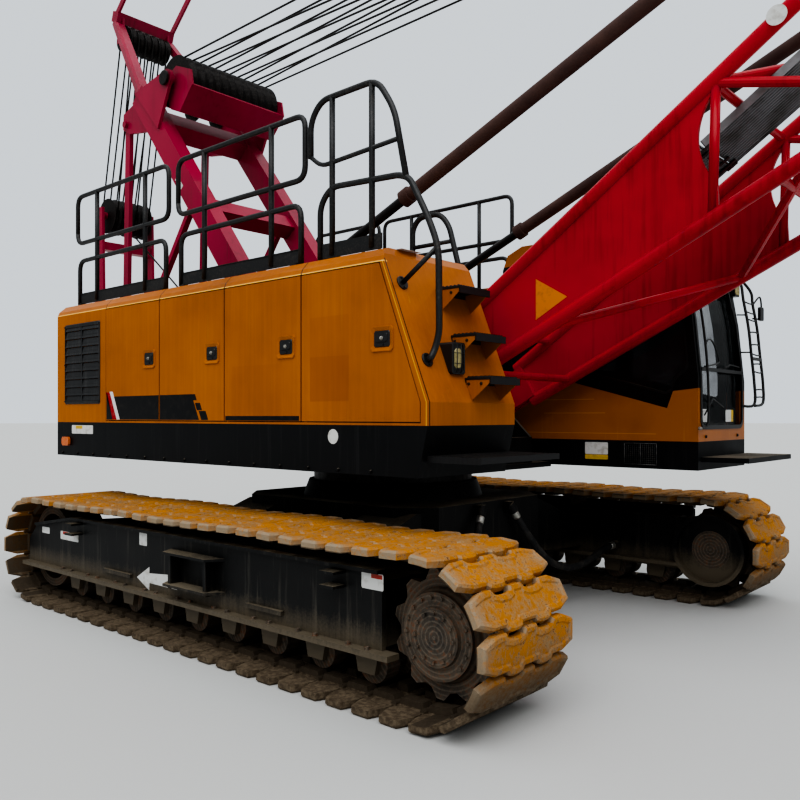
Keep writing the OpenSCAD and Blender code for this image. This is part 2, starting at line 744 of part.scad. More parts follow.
module house_right() {
    color("#e0971b")
        difference() {
            intersection() {
                side_plate(house_outline(right_front, right_knee, right_high, right_roof, 0),
                    -upper_side, -house_inner);
                mirror([0, 1, 0])
                    translate([-3000, 0, 0])
                        house_section(right_roof, 0);
            }
            intersection() {
                side_plate(house_outline(right_front, right_knee, right_high, right_roof, house_wall),
                    -upper_side, -house_inner);
                mirror([0, 1, 0])
                    translate([-3000, 0, 0])
                        house_section(right_roof, house_wall);
            }
            for (d = right_doors)
                door_opening(d, -1);
            // Louvre panel, in two columns of slots
            for (i = [0 : 8], column = [0, 1])
                block([-2440 + column * 300, -upper_side - 1, 1630 + i * 70],
                    [-2440 + column * 300 + 285, -upper_side + house_wall + 1, 1630 + i * 70 + 40]);
        }
}

module house_left() {
    color("#e0971b")
        difference() {
            intersection() {
                side_plate(house_outline(left_front, 1600, left_front, left_roof, 0),
                    house_inner, upper_side);
                translate([-3000, 0, 0])
                    house_section(left_roof, 0);
            }
            intersection() {
                side_plate(house_outline(left_front, 1600, left_front, left_roof, house_wall),
                    house_inner, upper_side);
                translate([-3000, 0, 0])
                    house_section(left_roof, house_wall);
            }
            for (d = left_doors)
                door_opening(d, 1);
        }
}

// Door panel with a pressed recess for its latch near the front edge
module house_door(d, side) {
    latch_x = d[1] > 1500 ? d[1] - 290 : d[1] - 145;
    outline = door_outline(d, door_gap);
    color("#e8a01f")
        on_side(side) {
            difference() {
                side_plate(outline, upper_side - house_wall, upper_side);
                block([latch_x - 45, upper_side - 16, 1890], [latch_x + 45, upper_side + 1, 1980]);
            }
            hinge_pin(d[0] + door_gap + hinge_in, upper_side - hinge_back, door_low, crease_z, hinge_r, 0);
        }
}

// Engine, as one plain block on its feet in the right-hand house
module engine() {
    color("#4a4c4a")
        block([-1650, -1450, deck_top + house_wall + 2 * fit], [-350, -house_inner - house_wall - 60, 2130]);
}

// Outline of the cab seen from the side, drawn in by inset
function cab_outline(inset) = [
    [cab_rear + inset, cab_floor + fit + inset], [cab_front - inset, cab_floor + fit + inset],
    [cab_front - inset, 1760], [cab_front - 45 - inset, 2200], [cab_front - 130 - inset, 2680],
    [cab_front - 210 - inset, cab_roof - 60 - inset], [cab_front - 330, cab_roof - inset],
    [cab_rear + 190, cab_roof - inset], [cab_rear + 50 + inset, cab_roof - 60 - inset],
    [cab_rear + inset, cab_roof - 180]];

// Windows in the cab's sides, as outlines in X and Z
inner_window = [[1330, 1860], [2060, 1660], [2105, 1800], [2190, 1830], [2120, 2560], [2060, 2640],
    [1330, 2640]];
rear_quarter = [[cab_rear + 90, 1920], [1190, 1885], [1190, 2640], [cab_rear + 150, 2640]];
cab_door_outline = [[1240, 1370], [2150, 1370], [2150, 1800], [2110, 2200], [2040, 2600], [1980, 2740],
    [1240, 2740]];
door_window = [[1320, 1840], [2075, 1640], [2075, 1800], [2035, 2200], [1970, 2570], [1935, 2660],
    [1320, 2660]];
front_low = 1420;
front_high = 2760;

module front_window(inset, thick) {
    half = (cab_outer - cab_inner) / 2 - 60 - inset;
    middle = (cab_outer + cab_inner) / 2;
    x0 = cab_front - cab_wall / 2;
    side_plate([[x0 - thick / 2, front_low + inset], [x0 + thick / 2, front_low + inset],
        [x0 + thick / 2, 1760], [x0 - 45 + thick / 2, 2200], [x0 - 130 + thick / 2, 2680 - inset],
        [x0 - 130 - thick / 2, 2680 - inset], [x0 - 45 - thick / 2, 2200], [x0 - thick / 2, 1760]],
        middle - half, middle + half);
}

module cab_shell() {
    color("#d9921c")
        difference() {
            side_plate(cab_outline(0), cab_inner, cab_outer);
            side_plate(cab_outline(cab_wall), cab_inner + cab_wall, cab_outer - cab_wall);
            front_window(0, 3 * cab_wall);
            side_plate(inner_window, cab_inner - 1, cab_inner + cab_wall + 1);
            for (y = [[cab_inner - 1, cab_inner + cab_wall + 1], [cab_outer - cab_wall - 1, cab_outer + 1]])
                side_plate(rear_quarter, y[0], y[1]);
            side_plate(cab_door_outline, cab_outer - cab_wall - 1, cab_outer + 1);
            hinge_pin(cab_door_outline[0][0] + door_gap + hinge_in, cab_outer - hinge_back, 1370, 2740,
                hinge_r + run_fit, 1);
            block([cab_rear - 1, cab_inner + 110, 1900], [cab_rear + cab_wall + 1, cab_outer - 110, 2640]);
        }
}

module inset_outline(points, inset) {
    offset(delta = -inset)
        polygon(points);
}

module pane(points, y) {
    translate([0, y + glass_t / 2, 0])
        rotate([90, 0, 0])
            linear_extrude(glass_t)
                inset_outline(points, fit);
}

module cab_glass() {
    color([0.35, 0.42, 0.45, 0.5]) {
        front_window(fit, glass_t);
        pane(inner_window, cab_inner + cab_wall / 2);
        pane(rear_quarter, cab_inner + cab_wall / 2);
        pane(rear_quarter, cab_outer - cab_wall / 2);
        block([cab_rear + cab_wall / 2 - 3, cab_inner + 110 + fit, 1900 + fit],
            [cab_rear + cab_wall / 2 + 3, cab_outer - 110 - fit, 2640 - fit]);
    }
}

module cab_door() {
    color("#d9921c")
        difference() {
            translate([0, cab_outer, 0])
                rotate([90, 0, 0])
                    linear_extrude(cab_wall)
                        inset_outline(cab_door_outline, door_gap);
            side_plate(door_window, cab_outer - cab_wall - 1, cab_outer + 1);
        }
    color("#d9921c")
        hinge_pin(cab_door_outline[0][0] + door_gap + hinge_in, cab_outer - hinge_back, 1370, 2740, hinge_r, 0);
}

module door_glass() {
    color([0.35, 0.42, 0.45, 0.5])
        pane(door_window, cab_outer - cab_wall / 2);
}

module cab_seat() {
    middle = (cab_inner + cab_outer) / 2;
    floor_z = cab_floor + cab_wall + 2 * fit;
    color("#26272a") {
        block([1060, middle - 160, floor_z], [1400, middle + 160, floor_z + 230]);
        block([1010, middle - 250, floor_z + 220], [1520, middle + 250, floor_z + 340]);
        side_plate([[1000, floor_z + 330], [1120, floor_z + 330], [1040, floor_z + 960],
            [950, floor_z + 960]], middle - 235, middle + 235);
        for (side = [-1, 1])
            block([1130, middle + side * 300 - 70, floor_z + 100],
                [1600, middle + side * 300 + 70, floor_z + 480]);
    }
}

// Front of the right-hand deck at the height z
deck_foot = 1640;
function deck_front(z) = right_front - (right_front - deck_foot) * (deck_top - z) / skirt_depth;

// Steps on the front of the right-hand house, with the grating platform under them
module front_steps() {
    slope = (right_front - right_high) / (right_roof - 50 - right_knee);
    color("#1b1c1e") {
        for (z = [1705, 1960, 2250]) {
            x = right_front - (z - right_knee) * slope;
            block([x + fit, -1200, z], [x + 190, -900, z + 22]);
            for (y = [-1196, -916])
                side_plate([[x + fit + 14, z - 130 * 0.2], [x + fit + 60, z - 130], [x + 180, z - 10],
                    [x + 180, z + 2], [x + fit, z + 2]], y, y + 12);
        }
        side_plate([[deck_front(1235) + fit, 1235], [right_front + 330, 1235], [right_front + 330, 1275],
            [deck_front(1275) + fit, 1275]], -upper_side + 40, -house_inner - 10);
    }
}

// One length of guard rail along a roof edge: toe board, low loop, tall loop and its posts
module rail_length(x0, x1, y, roof, top) {
    pipe_r = 19;
    bend = 110;
    low = roof + 400;
    block([x0 + 20, y - 8, roof + fit], [x1 - 20, y + 8, roof + 110]);
    pipe([[x0, y, roof + 60], [x0, y, low - bend], [x0 + bend, y, low], [x1 - bend, y, low],
        [x1, y, low - bend], [x1, y, roof + 60]], pipe_r);
    pipe([[x0 - 40, y, low + 160 + bend], [x0 - 40 + bend, y, low + 160], [x1 + 40 - bend, y, low + 160],
        [x1 + 40, y, low + 160 + bend], [x1 + 40, y, top - bend], [x1 + 40 - bend, y, top],
        [x0 - 40 + bend, y, top], [x0 - 40, y, top - bend], [x0 - 40, y, low + 160 + bend]], pipe_r);
    for (x = [x0 + 0.22 * (x1 - x0), x0 + 0.78 * (x1 - x0)])
        bar([x, y, roof + 60], [x, y, top], pipe_r, 16);
    for (x = [x0 + 20, x1 - 80])
        block([x, y - 30, roof + fit], [x + 60, y + 30, roof + 14]);
}

// Guard rails of the two roofs: rear end and front end of each length
right_rails = [[-2480, -1090], [-880, 505]];
left_rails = [[-2480, -1560], [-1400, 160]];

module rails(side, roof) {
    color("#1d1e20")
        on_side(side) {
            for (r = side < 0 ? right_rails : left_rails)
                rail_length(r[0], r[1], upper_side - 150, roof, roof + 980);
            if (side < 0)
                corner_rails(upper_side - 150, roof);
        }
}

// Rails at the front corner of the right-hand roof: the third length, whose low pipe runs on down the
// front of the house to a flange, and the loop beside the boom
module corner_rails(y, roof) {
    r = 19;
    x0 = right_high - 672;
    function front(z) = right_front - (z - right_knee) * (right_front - right_high) / (right_roof - 50 - right_knee);
    foot = [front(1808), y + 42, 1808];
    stay_foot = [front(2259), y + 47, 2259];
    out = [0.927, 0, 0.375];
    block([x0 + 20, y - 8, roof + fit], [right_high - 130, y + 8, roof + 110]);
    pipe([[x0, y, roof + 60], [x0, y, roof + 360], [x0 + 100, y, roof + 460], [1370, y, roof + 425],
        [1450, y, roof + 390], [1590, y, roof + 140], [1665, y, 2440], [1669, y, 1960], [1650, y + 15, 1870],
        foot + 32 * out, foot + 9 * out], r);
    pipe([[x0 - 90, y, roof + 680], [x0 - 90, y, roof + 920], [x0 + 10, y, roof + 1030], [1190, y, roof + 1030],
        [1330, y, roof + 820], [1423, y, roof + 400]], r);
    pipe([[x0 - 92, y, roof + 690], [x0 + 10, y, roof + 610], [1362, y, roof + 640]], 15);
    for (x = [x0 + 110, right_high - 215])
        bar([x, y, roof + 60], [x, y, roof + 1030], r, 16);
    bar([1662, y, 2450], stay_foot + 9 * out, 15, 16);
    for (p = [foot, stay_foot])
        bar(p + fit * out, p + 10 * out, 42, 32);
    // Loop beside the boom
    inner = house_inner - 40;
    pipe([[840, house_inner - fit, roof - 60], [840, inner, roof - 60], [840, inner, roof + 310],
        [900, inner, roof + 380], [1080, inner, roof + 380], [1160, inner, roof + 290],
        [1260, inner, roof - 60], [1190, inner, roof - 160], [1190, house_inner - fit, roof - 160]], r);
    pipe([[840, inner, roof + 180], [1190, inner, roof + 180]], 14);
}

// Red gantry: two leaning legs, their cross beams, the narrow upper legs, the head, the rear links
module gantry() {
    foot = [leg_foot_x, leg_foot_z];
    head = [head_x, gantry_head_z];
    link_top = [-3330, 4560];
    link_foot = [-3420, 1440];
    color("#b3123a") {
        for (side = [-1, 1])
            on_side(side) {
                leg_bar(foot, leg_top, leg_d, leg_y - leg_w / 2, leg_y + leg_w / 2);
                cross_bar(foot[0], foot[1], 115, leg_y - leg_w / 2, leg_y + leg_w / 2);
                cross_bar(foot[0], foot[1], leg_pin_r, leg_y - leg_w / 2 - 40, leg_y + leg_w / 2 + 40);
                // Upper leg, drawn in towards the head
                hull() {
                    translate([leg_top[0], leg_y - 10, leg_top[1]])
                        rotate([0, 38, 0])
                            cube([130, 100, 60], center = true);
                    translate([head[0], head_y, head[1] - 80])
                        rotate([0, 38, 0])
                            cube([120, 80, 60], center = true);
                }
                // Lug behind the joint, and the rear link that hangs from it
                side_plate([[on_leg(4800), 4800], [on_leg(4350), 4350], [link_top[0] + 60, link_top[1] - 110],
                    [link_top[0] - 70, link_top[1] - 40], [link_top[0] - 60, link_top[1] + 120]],
                    leg_y - 60, leg_y - 30);
                leg_bar(link_foot, link_top, 90, web_y + web_t / 2 + 2, leg_y - 46);
                cross_bar(link_top[0], link_top[1], 35, web_y + web_t / 2 - 6, leg_y);
                cross_bar(link_foot[0], link_foot[1], 35, web_y + web_t / 2 + fit, leg_y - 30);
                // Arms that carry the nest axle
                difference() {
                    union() {
                        side_plate([[on_leg(4300) + 60, 4300], [nest_x + 60, nest_z - 60],
                            [nest_x + 60, nest_z + 70], [nest_x - 60, nest_z + 80], [on_leg(4750), 4750]],
                            leg_y + leg_w / 2 - 5, leg_y + leg_w / 2 + arm_t);
                        cross_bar(nest_x, nest_z, 90, leg_y + leg_w / 2 - 5, leg_y + leg_w / 2 + arm_t);
                    }
                    cross_bar(nest_x, nest_z, nest_axle_r + run_fit, leg_y, leg_y + leg_w);
                }
                // Pin of the backstop, out from the leg
                cross_bar(stop_pin[0], stop_pin[1], 30, leg_y, stop_y + 36);
            }
        // Cross beams: place along X, height, depth
        for (b = [[on_leg(3420), 3420, 160], [on_leg(4410), 4410, 190], [on_leg(2150), 2150, 130]])
            translate([b[0], 0, b[1]])
                rotate([0, 90 - leg_angle, 0])
                    cube([b[2], 2 * leg_y, b[2]], center = true);
        // Head beam with its end lugs
        translate([head[0], 0, head[1]])
            rotate([0, 20, 0])
                cube([120, 2 * head_y + 90, 110], center = true);
        // Sheaves under the head beam, the plates that hold them, and the links on its ends
        translate([head[0] + 10, 0, head[1] - 215])
            rotate([90, 0, 0])
                rotate_extrude($fn = 64)
                    polygon(sheave_pack(6, 88, 140, 28));
        cross_bar(head[0] + 10, head[1] - 215, 30, -head_y + 10, head_y - 10);
        for (side = [-1, 1])
            on_side(side) {
                side_plate([[head[0] - 50, head[1]], [head[0] - 60, head[1] - 270], [head[0] + 70, head[1] - 270],
                    [head[0] + 60, head[1]]], head_y - 40, head_y - 15);
                leg_bar(head, head + 1000 * [cos(39.8), sin(39.8)], 64, head_y + 18, head_y + 43);
            }
        cross_bar(-3060, 4830, 60, -leg_y, leg_y);
    }
}

// Post on the tail with the lower sheaves of the gantry rope
module tail_sheaves() {
    x = -4250;
    color("#a01235") {
        for (side = [-1, 1])
            on_side(side) {
                side_plate([[x - 130, web_top + fit], [x + 130, web_top + fit], [x + 70, 3880], [x - 70, 3880]],
                    300, 330);
            }
        for (z = [1900, 2700, 3400])
            block([x - 60, -310, z], [x + 60, 310, z + 90]);
        cross_bar(x, 3800, 40, -330, 330);
        block([x - 150, -web_y - 10, web_top + fit], [x + 150, web_y + 10, web_top + 40]);
        translate([x, 0, 3800])
            rotate([90, 0, 0])
                rotate_extrude($fn = 64)
                    polygon(sheave_pack(6, 78, 200, 34));
    }
}

// Half section of a pack of grooved sheaves, for rotate_extrude: count, pitch, radius, depth of groove
function sheave_pack(count, pitch, radius, groove) = concat(
    [[20, -count * pitch / 2]],
    [for (i = [0 : count - 1], k = [0 : 3])
        let (y = (i - count / 2) * pitch)
        [[radius, y + 4], [radius - groove, y + pitch / 2 - 8], [radius - groove, y + pitch / 2 + 8],
        [radius, y + pitch - 4]][k]],
    [[20, count * pitch / 2]]);

// Nest of the luffing rope: its sheaves on one axle, with a red housing in front and below
module luffing_nest() {
    half = nest_count * 90 / 2;
    nest_axle_end = leg_y + leg_w / 2 + arm_t + 12;
    color("#8a1030") {
        translate([nest_x, 0, nest_z])
            rotate([90, 0, 0])
                rotate_extrude($fn = 96)
                    polygon(sheave_pack(nest_count, 90, nest_r, 38));
        cross_bar(nest_x, nest_z, nest_axle_r, -nest_axle_end, nest_axle_end);
        for (side = [-1, 1])
            on_side(side)
                side_plate([[nest_x - 120, nest_z + 60], [nest_x - 60, nest_z - 250], [nest_x + 120, nest_z - 330],
                    [nest_x + 330, nest_z - 120], [nest_x + 300, nest_z + 30], [nest_x + 60, nest_z + 130]],
                    half + 3, half + 23);
        side_plate([[nest_x - 50, nest_z - 262], [nest_x + 120, nest_z - 330], [nest_x + 330, nest_z - 120],
            [nest_x + 300, nest_z - 95], [nest_x + 110, nest_z - 300], [nest_x - 45, nest_z - 255 + 20]],
            -half - 10, half + 10);
    }
}

module backstop_rods() {
    color("#2a2422")
        for (side = [-1, 1])
            on_side(side)
                translate([stop_pin[0], stop_y, stop_pin[1]])
                    rotate([0, -stop_angle, 0]) {
                        difference() {
                            union() {
                                cross_bar(0, 0, 70, -30, 30);
                                rotate([0, 90, 0])
                                    cylinder(r = rod_r, h = stop_rod_end, $fn = 48);
                            }
                            cross_bar(0, 0, 30 + run_fit, -40, 40);
                        }
                        translate([stop_rod_end - 60, 0, 0])
                            rotate([0, 90, 0])
                                cylinder(r = stop_tube_r - 8 - run_fit, h = 60, $fn = 48);
                    }
}

module backstop_tubes() {
    color("#3b2521")
        for (side = [-1, 1])
            on_side(side)
                translate([stop_pin[0], stop_y, stop_pin[1]])
                    rotate([0, -stop_angle, 0]) {
                        difference() {
                            union() {
                                translate([stop_tube_start, 0, 0])
                                    rotate([0, 90, 0])
                                        cylinder(r = stop_tube_r, h = stop_len - stop_tube_start - 40, $fn = 48);
                                translate([stop_tube_start, 0, 0])
                                    rotate([0, 90, 0])
                                        cylinder(r = stop_tube_r + 14, h = 70, $fn = 48);
                            }
                            translate([stop_tube_start - 1, 0, 0])
                                rotate([0, 90, 0])
                                    cylinder(r = rod_r + run_fit, h = 72, $fn = 48);
                            translate([stop_tube_start + 60, 0, 0])
                                rotate([0, 90, 0])
                                    cylinder(r = stop_tube_r - 8, h = stop_len - stop_tube_start - 300, $fn = 48);
                        }
                        translate([stop_len, 0, 0]) {
                            cross_bar(0, 0, 75, 4 - stop_tube_r, stop_tube_r - 4);
                            cross_bar(0, 0, 36, stop_tube_r - 6, stop_tube_r + 12);
                        }
                    }
}

// Places its children in the boom's own frame: s along X, n along Z
module in_boom() {
    translate([foot_x, 0, foot_z])
        rotate([0, -boom_angle, 0])
            children();
}

// Lacing tube between two points, round, or eight-sided where the chords taper both ways
module lacing_tube(a, b, sided) {
    d = b - a;
    if (!sided)
        bar(a, b, lacing_r, 12);
    else
        translate(a)
            rotate([0, acos(d[2] / norm(d)), atan2(d[1], d[0])])
                linear_extrude(norm(d))
                    polygon([for (k = [0 : 7]) lacing_r * [cos(45 * k + 10), sin(45 * k + 10)]]);
}

// Lacing of one side face, zigzagging between bottom and top chords at the stations s
module side_lacing(stations, side, first_top, sided = false) {
    for (i = [0 : len(stations) - 2])
        lacing_tube(chord_point(stations[i], (i + first_top) % 2 == 0 ? -1 : 1, side),
            chord_point(stations[i + 1], (i + first_top) % 2 == 0 ? 1 : -1, side), sided);
}

// Lacing of the top or bottom face, zigzagging between the two sides, with cross tubes
module flat_lacing(stations, top, sided = false) {
    for (i = [0 : len(stations) - 2])
        lacing_tube(chord_point(stations[i], top, i % 2 == 0 ? -1 : 1),
            chord_point(stations[i + 1], top, i % 2 == 0 ? 1 : -1), sided);
}

// Foot section of the boom: solid side plates at the foot, then a lattice of tubes
module boom_foot() {
    chord_start = 330;
    end_s = butt_len - 20;
    stations = [for (i = [0 : 5]) 2820 + i * (end_s - 60 - 2820) / 5];
    bottom_stations = [for (i = [0 : 6]) 1300 + i * (end_s - 60 - 1300) / 6];
    color("#b8163c")
        in_boom() {
            for (side = [-1, 1])
                on_side(side) {
                    difference() {
                        union() {
                            side_plate([[0, -foot_half], [side_plate_len - 160, -half_depth(side_plate_len - 160)],
                                [side_plate_len + 170, half_depth(side_plate_len + 170)],
                                [120, half_depth(120)], [0, foot_half]], boom_half_w - 12, boom_half_w + 12);
                            cross_bar(0, 0, foot_half, boom_half_w - ear_t / 2, boom_half_w + ear_t / 2, 64);
                            side_plate([[0, -foot_half], [chord_start + 60, -half_depth(chord_start + 60) + 20],
                                [chord_start + 60, half_depth(chord_start + 60) - 20], [0, foot_half]],
                                boom_half_w - ear_t / 2, boom_half_w + ear_t / 2);
                        }
                        cross_bar(0, 0, foot_pin_r + run_fit, boom_half_w - ear_t, boom_half_w + ear_t, 64);
                        cross_bar(side_plate_len + 270, -60, 360, boom_half_w - 20, boom_half_w + 20, 96);
                    }
                    for (top = [-1, 1])
                        bar(chord_point(chord_start, top, 1), chord_point(end_s, top, 1), chord_r, 32);
                    side_lacing(stations, 1, 1);
                    bar(chord_point(end_s - 60, -1, 1), chord_point(end_s - 60, 1, 1), lacing_r, 12);
                }
            // Bosses beside the top chords where the backstops end
            for (side = [-1, 1])
                on_side(side)
                    cross_bar(stop_boss[0], stop_boss[1], 62, boom_half_w, stop_y - stop_tube_r - move_gap);
            flat_lacing(bottom_stations, -1);
            flat_lacing([for (i = [0 : 5]) 2820 + i * (end_s - 60 - 2820) / 5], 1);
            for (s = [700, 2820, end_s - 60], top = [-1, 1])
                bar(chord_point(s, top, -1), chord_point(s, top, 1), lacing_r, 12);
        }
}

// Head section of the boom, tapering to the plates that carry the head sheaves
module boom_head() {
    start_s = butt_len + 20;
    end_s = taper_end;
    panels = 8;
    stations = [for (i = [0 : panels]) start_s + 60 + i * (end_s - start_s - 120) / panels];
    flat_stations = [for (i = [0 : panels - 1]) start_s + 180 + i * (end_s - start_s - 330) / (panels - 1)];
    color("#b8163c")
        in_boom() {
            for (side = [-1, 1])
                on_side(side) {
                    for (top = [-1, 1])
                        bar(chord_point(start_s, top, 1), chord_point(end_s, top, 1), chord_r, 32);
                    side_lacing(stations, 1, 0, true);
                    bar(chord_point(start_s + 60, -1, 1), chord_point(start_s + 60, 1, 1), lacing_r, 12);
                    // Head plate, drawn down to the sheave axle
                    difference() {
                        side_plate([[end_s - 260, -head_half - 60], [hook_s - 220, hook_n - 60],
                            [hook_s - 60, hook_n - 140], [hook_s + 60, hook_n - 140], [hook_s + 150, hook_n],
                            [boom_len + 60, 0], [stay_pin_s + 90, stay_pin_n + 40],
                            [stay_pin_s + 30, stay_pin_n + 90], [stay_pin_s - 60, stay_pin_n + 90],
                            [end_s - 260, head_half + 60]], head_half_w - 15, head_half_w + 15);
                        cross_bar(boom_len - 90, 0, jib_pin_r, head_half_w - 30, head_half_w + 30);
                    }
                }
            flat_lacing(flat_stations, -1, true);
            flat_lacing(flat_stations, 1, true);
            for (s = [start_s + 60, end_s - 60], top = [-1, 1])
                bar(chord_point(s, top, -1), chord_point(s, top, 1), lacing_r, 12);
            // Pins that couple the two sections
            for (side = [-1, 1], top = [-1, 1])
                translate(chord_point(butt_len, top, side))
                    block([-16.8, -25, -40], [50, 25, 40]);
            cross_bar(hook_s, hook_n, 50, -head_half_w, head_half_w);
            cross_bar(stay_pin_s, stay_pin_n, 32, -head_half_w - 60, head_half_w + 60);
        }
}

// Grating along the boom, under the top lacing
module boom_walkway() {
    slope = atan2(joint_half - foot_half, butt_len);
    seat = foot_half * cos(slope) - lacing_r - fit;
    walk = [side_plate_len + 350, butt_len - 300];
    color("#8d8f8e")
        in_boom()
            rotate([0, -slope, 0])
                difference() {
                    block([walk[0], -190, seat - 50], [walk[1], 190, seat]);
                    block([walk[0] + 20, -170, seat - 51], [walk[1] - 20, 170, seat - 20]);
                }
}

module boom_sheaves() {
    color("#2e3032")
        in_boom()
            translate([hook_s, 0, hook_n])
                rotate([90, 0, 0])
                    difference() {
                        rotate_extrude($fn = 96)
                            polygon(sheave_pack(5, 90, head_sheave_r, 38));
                        translate([0, 0, -300])
                            cylinder(r = 50 + fit, h = 600, $fn = 64);
                    }
}

// Stays from the boom head to the bridle, with the bridle's sheaves
module stays() {
    stay_y = head_half_w + 40;
    run = [tip_x, tip_z] - bridle;
    rim = [tip_x, tip_z] - 50 * run / norm(run);
    color("#2c2b2b") {
        for (side = [-1, 1])
            on_side(side) {
                bar([bridle[0], stay_y, bridle[1]], [rim[0], stay_y, rim[1]], stay_r, 24);
                difference() {
                    cross_bar(tip_x, tip_z, 70, stay_y - 20, stay_y + 20);
                    cross_bar(tip_x, tip_z, 32 + run_fit, stay_y - 21, stay_y + 21);
                }
                side_plate([[bridle[0] - 170, bridle[1] - 90], [bridle[0] + 90, bridle[1] - 70],
                    [bridle[0] + 160, bridle[1] + 70], [bridle[0] - 140, bridle[1] + 90]],
                    stay_y - 15, stay_y + 15);
            }
        cross_bar(bridle[0] - 40, bridle[1], 40, -stay_y, stay_y);
        translate([bridle[0] - 40, 0, bridle[1]])
            rotate([90, 0, 0])
                rotate_extrude($fn = 64)
                    polygon(sheave_pack(6, 92, 180, 34));
    }
}

// Hook block hanging from the boom head, with its sheaves and hook
module hook_block() {
    drop = 2100;
    block_sheave_r = 240;
    fall_r = 11;
    color("#c98a1c") {
        translate([hook_x, 0, hook_z - drop]) {
            rotate([90, 0, 0])
                rotate_extrude($fn = 64)
                    polygon(sheave_pack(3, 90, block_sheave_r, 36));
            for (y = [-165, 140])
                side_plate([[-170, -360], [170, -360], [260, -60], [260, 120], [140, 270], [-140, 270],
                    [-260, 120], [-260, -60]], y, y + 25);
            cross_bar(0, 0, 40, -165, 165);
            block([-130, -160, -430], [130, 160, -330]);
            translate([0, 0, -560])
                cylinder(r = 45, h = 140, $fn = 48);
            rotate([90, 0, 0])
                translate([0, -700, -40])
                    linear_extrude(80)
                        difference() {
                            union() {
                                circle(r = 170, $fn = 64);
                                translate([-45, 100])
                                    square([90, 90]);
                            }
                            circle(r = 90, $fn = 64);
                            translate([-200, 20])
                                square([155, 160]);
                        }
        }
        // Falls of the hoist rope, from the block's sheaves to the head sheaves
        for (y = [-90, 0, 90], side = [-1, 1])
            bar([hook_x + side * (block_sheave_r - 36 + fall_r + fit), y, hook_z - drop],
                [hook_x + side * (head_sheave_r - 38 + fall_r + fit), y, hook_z], fall_r, 12);
    }
}

car_body();
slew_ring();
track_frame(-1);  // track_frame_right
track_frame(1);  // track_frame_left
track_belt(-1);  // track_belt_right
track_belt(1);  // track_belt_left
drive_wheel(-1);  // drive_wheel_right
drive_wheel(1);  // drive_wheel_left
idler(-1);  // idler_right
idler(1);  // idler_left
rollers(-1);  // rollers_right
rollers(1);  // rollers_left
upper_frame();
deck(-1, deck_foot, right_front);  // deck_right
deck(1, left_front, left_front);  // deck_left
cab_base();
house_right();
house_left();
engine();
house_door(right_doors[0], -1);  // door_right_1
house_door(right_doors[1], -1);  // door_right_2
house_door(right_doors[2], -1);  // door_right_3
house_door(right_doors[3], -1);  // door_right_4
house_door(left_doors[0], 1);  // door_left_1
house_door(left_doors[1], 1);  // door_left_2
cab_shell();
cab_glass();
cab_seat();
cab_door();
door_glass();
front_steps();
rails(-1, right_roof);  // rails_right
rails(1, left_roof);  // rails_left
winch(winches[0]);  // winch_front
winch(winches[1]);  // winch_middle
winch(winches[2]);  // winch_rear
gantry();
tail_sheaves();
luffing_nest();
backstop_rods();
backstop_tubes();
boom_foot();
boom_head();
boom_walkway();
boom_sheaves();
stays();
hook_block();
hose(-1);  // hose_right
hose(1);  // hose_left
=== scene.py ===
import math

import bmesh
import bpy
from mathutils import Matrix, Vector


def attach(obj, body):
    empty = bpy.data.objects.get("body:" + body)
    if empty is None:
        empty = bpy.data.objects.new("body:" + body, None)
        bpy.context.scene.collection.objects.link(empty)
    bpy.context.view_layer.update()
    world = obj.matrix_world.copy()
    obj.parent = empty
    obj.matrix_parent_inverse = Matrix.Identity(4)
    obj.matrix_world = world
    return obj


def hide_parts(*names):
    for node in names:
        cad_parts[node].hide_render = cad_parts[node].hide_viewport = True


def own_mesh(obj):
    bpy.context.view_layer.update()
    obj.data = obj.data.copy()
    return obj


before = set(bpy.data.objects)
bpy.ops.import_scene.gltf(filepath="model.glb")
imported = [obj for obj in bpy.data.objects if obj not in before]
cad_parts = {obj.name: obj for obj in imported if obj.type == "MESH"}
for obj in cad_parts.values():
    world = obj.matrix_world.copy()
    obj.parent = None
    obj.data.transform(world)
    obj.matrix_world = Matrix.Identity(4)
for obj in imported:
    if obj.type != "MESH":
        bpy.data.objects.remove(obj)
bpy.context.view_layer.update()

# The view of the parked crane from its front right, at eye height, through a moderately wide lens.
# The verticals stay upright, so the lens is shifted up a little instead of tilted.
PICTURE, FOCAL, HORIZON = 800, 818, 416
camera = bpy.data.cameras.new("camera")
camera.sensor_width = 36
camera.lens = 36 * FOCAL / PICTURE
camera.shift_y = (HORIZON - PICTURE / 2) / PICTURE
camera.clip_end = 400
ahead = Vector((-0.6665, 0.7455, 0)).normalized()
right = ahead.cross(Vector((0, 0, 1)))
stand = Matrix((right, Vector((0, 0, 1)), -ahead)).transposed().to_4x4()
stand.translation = (4.56, -5.014, 1.494)
viewer = bpy.data.objects.new("camera", camera)
viewer.matrix_world = stand
bpy.context.collection.objects.link(viewer)
bpy.context.scene.camera = viewer


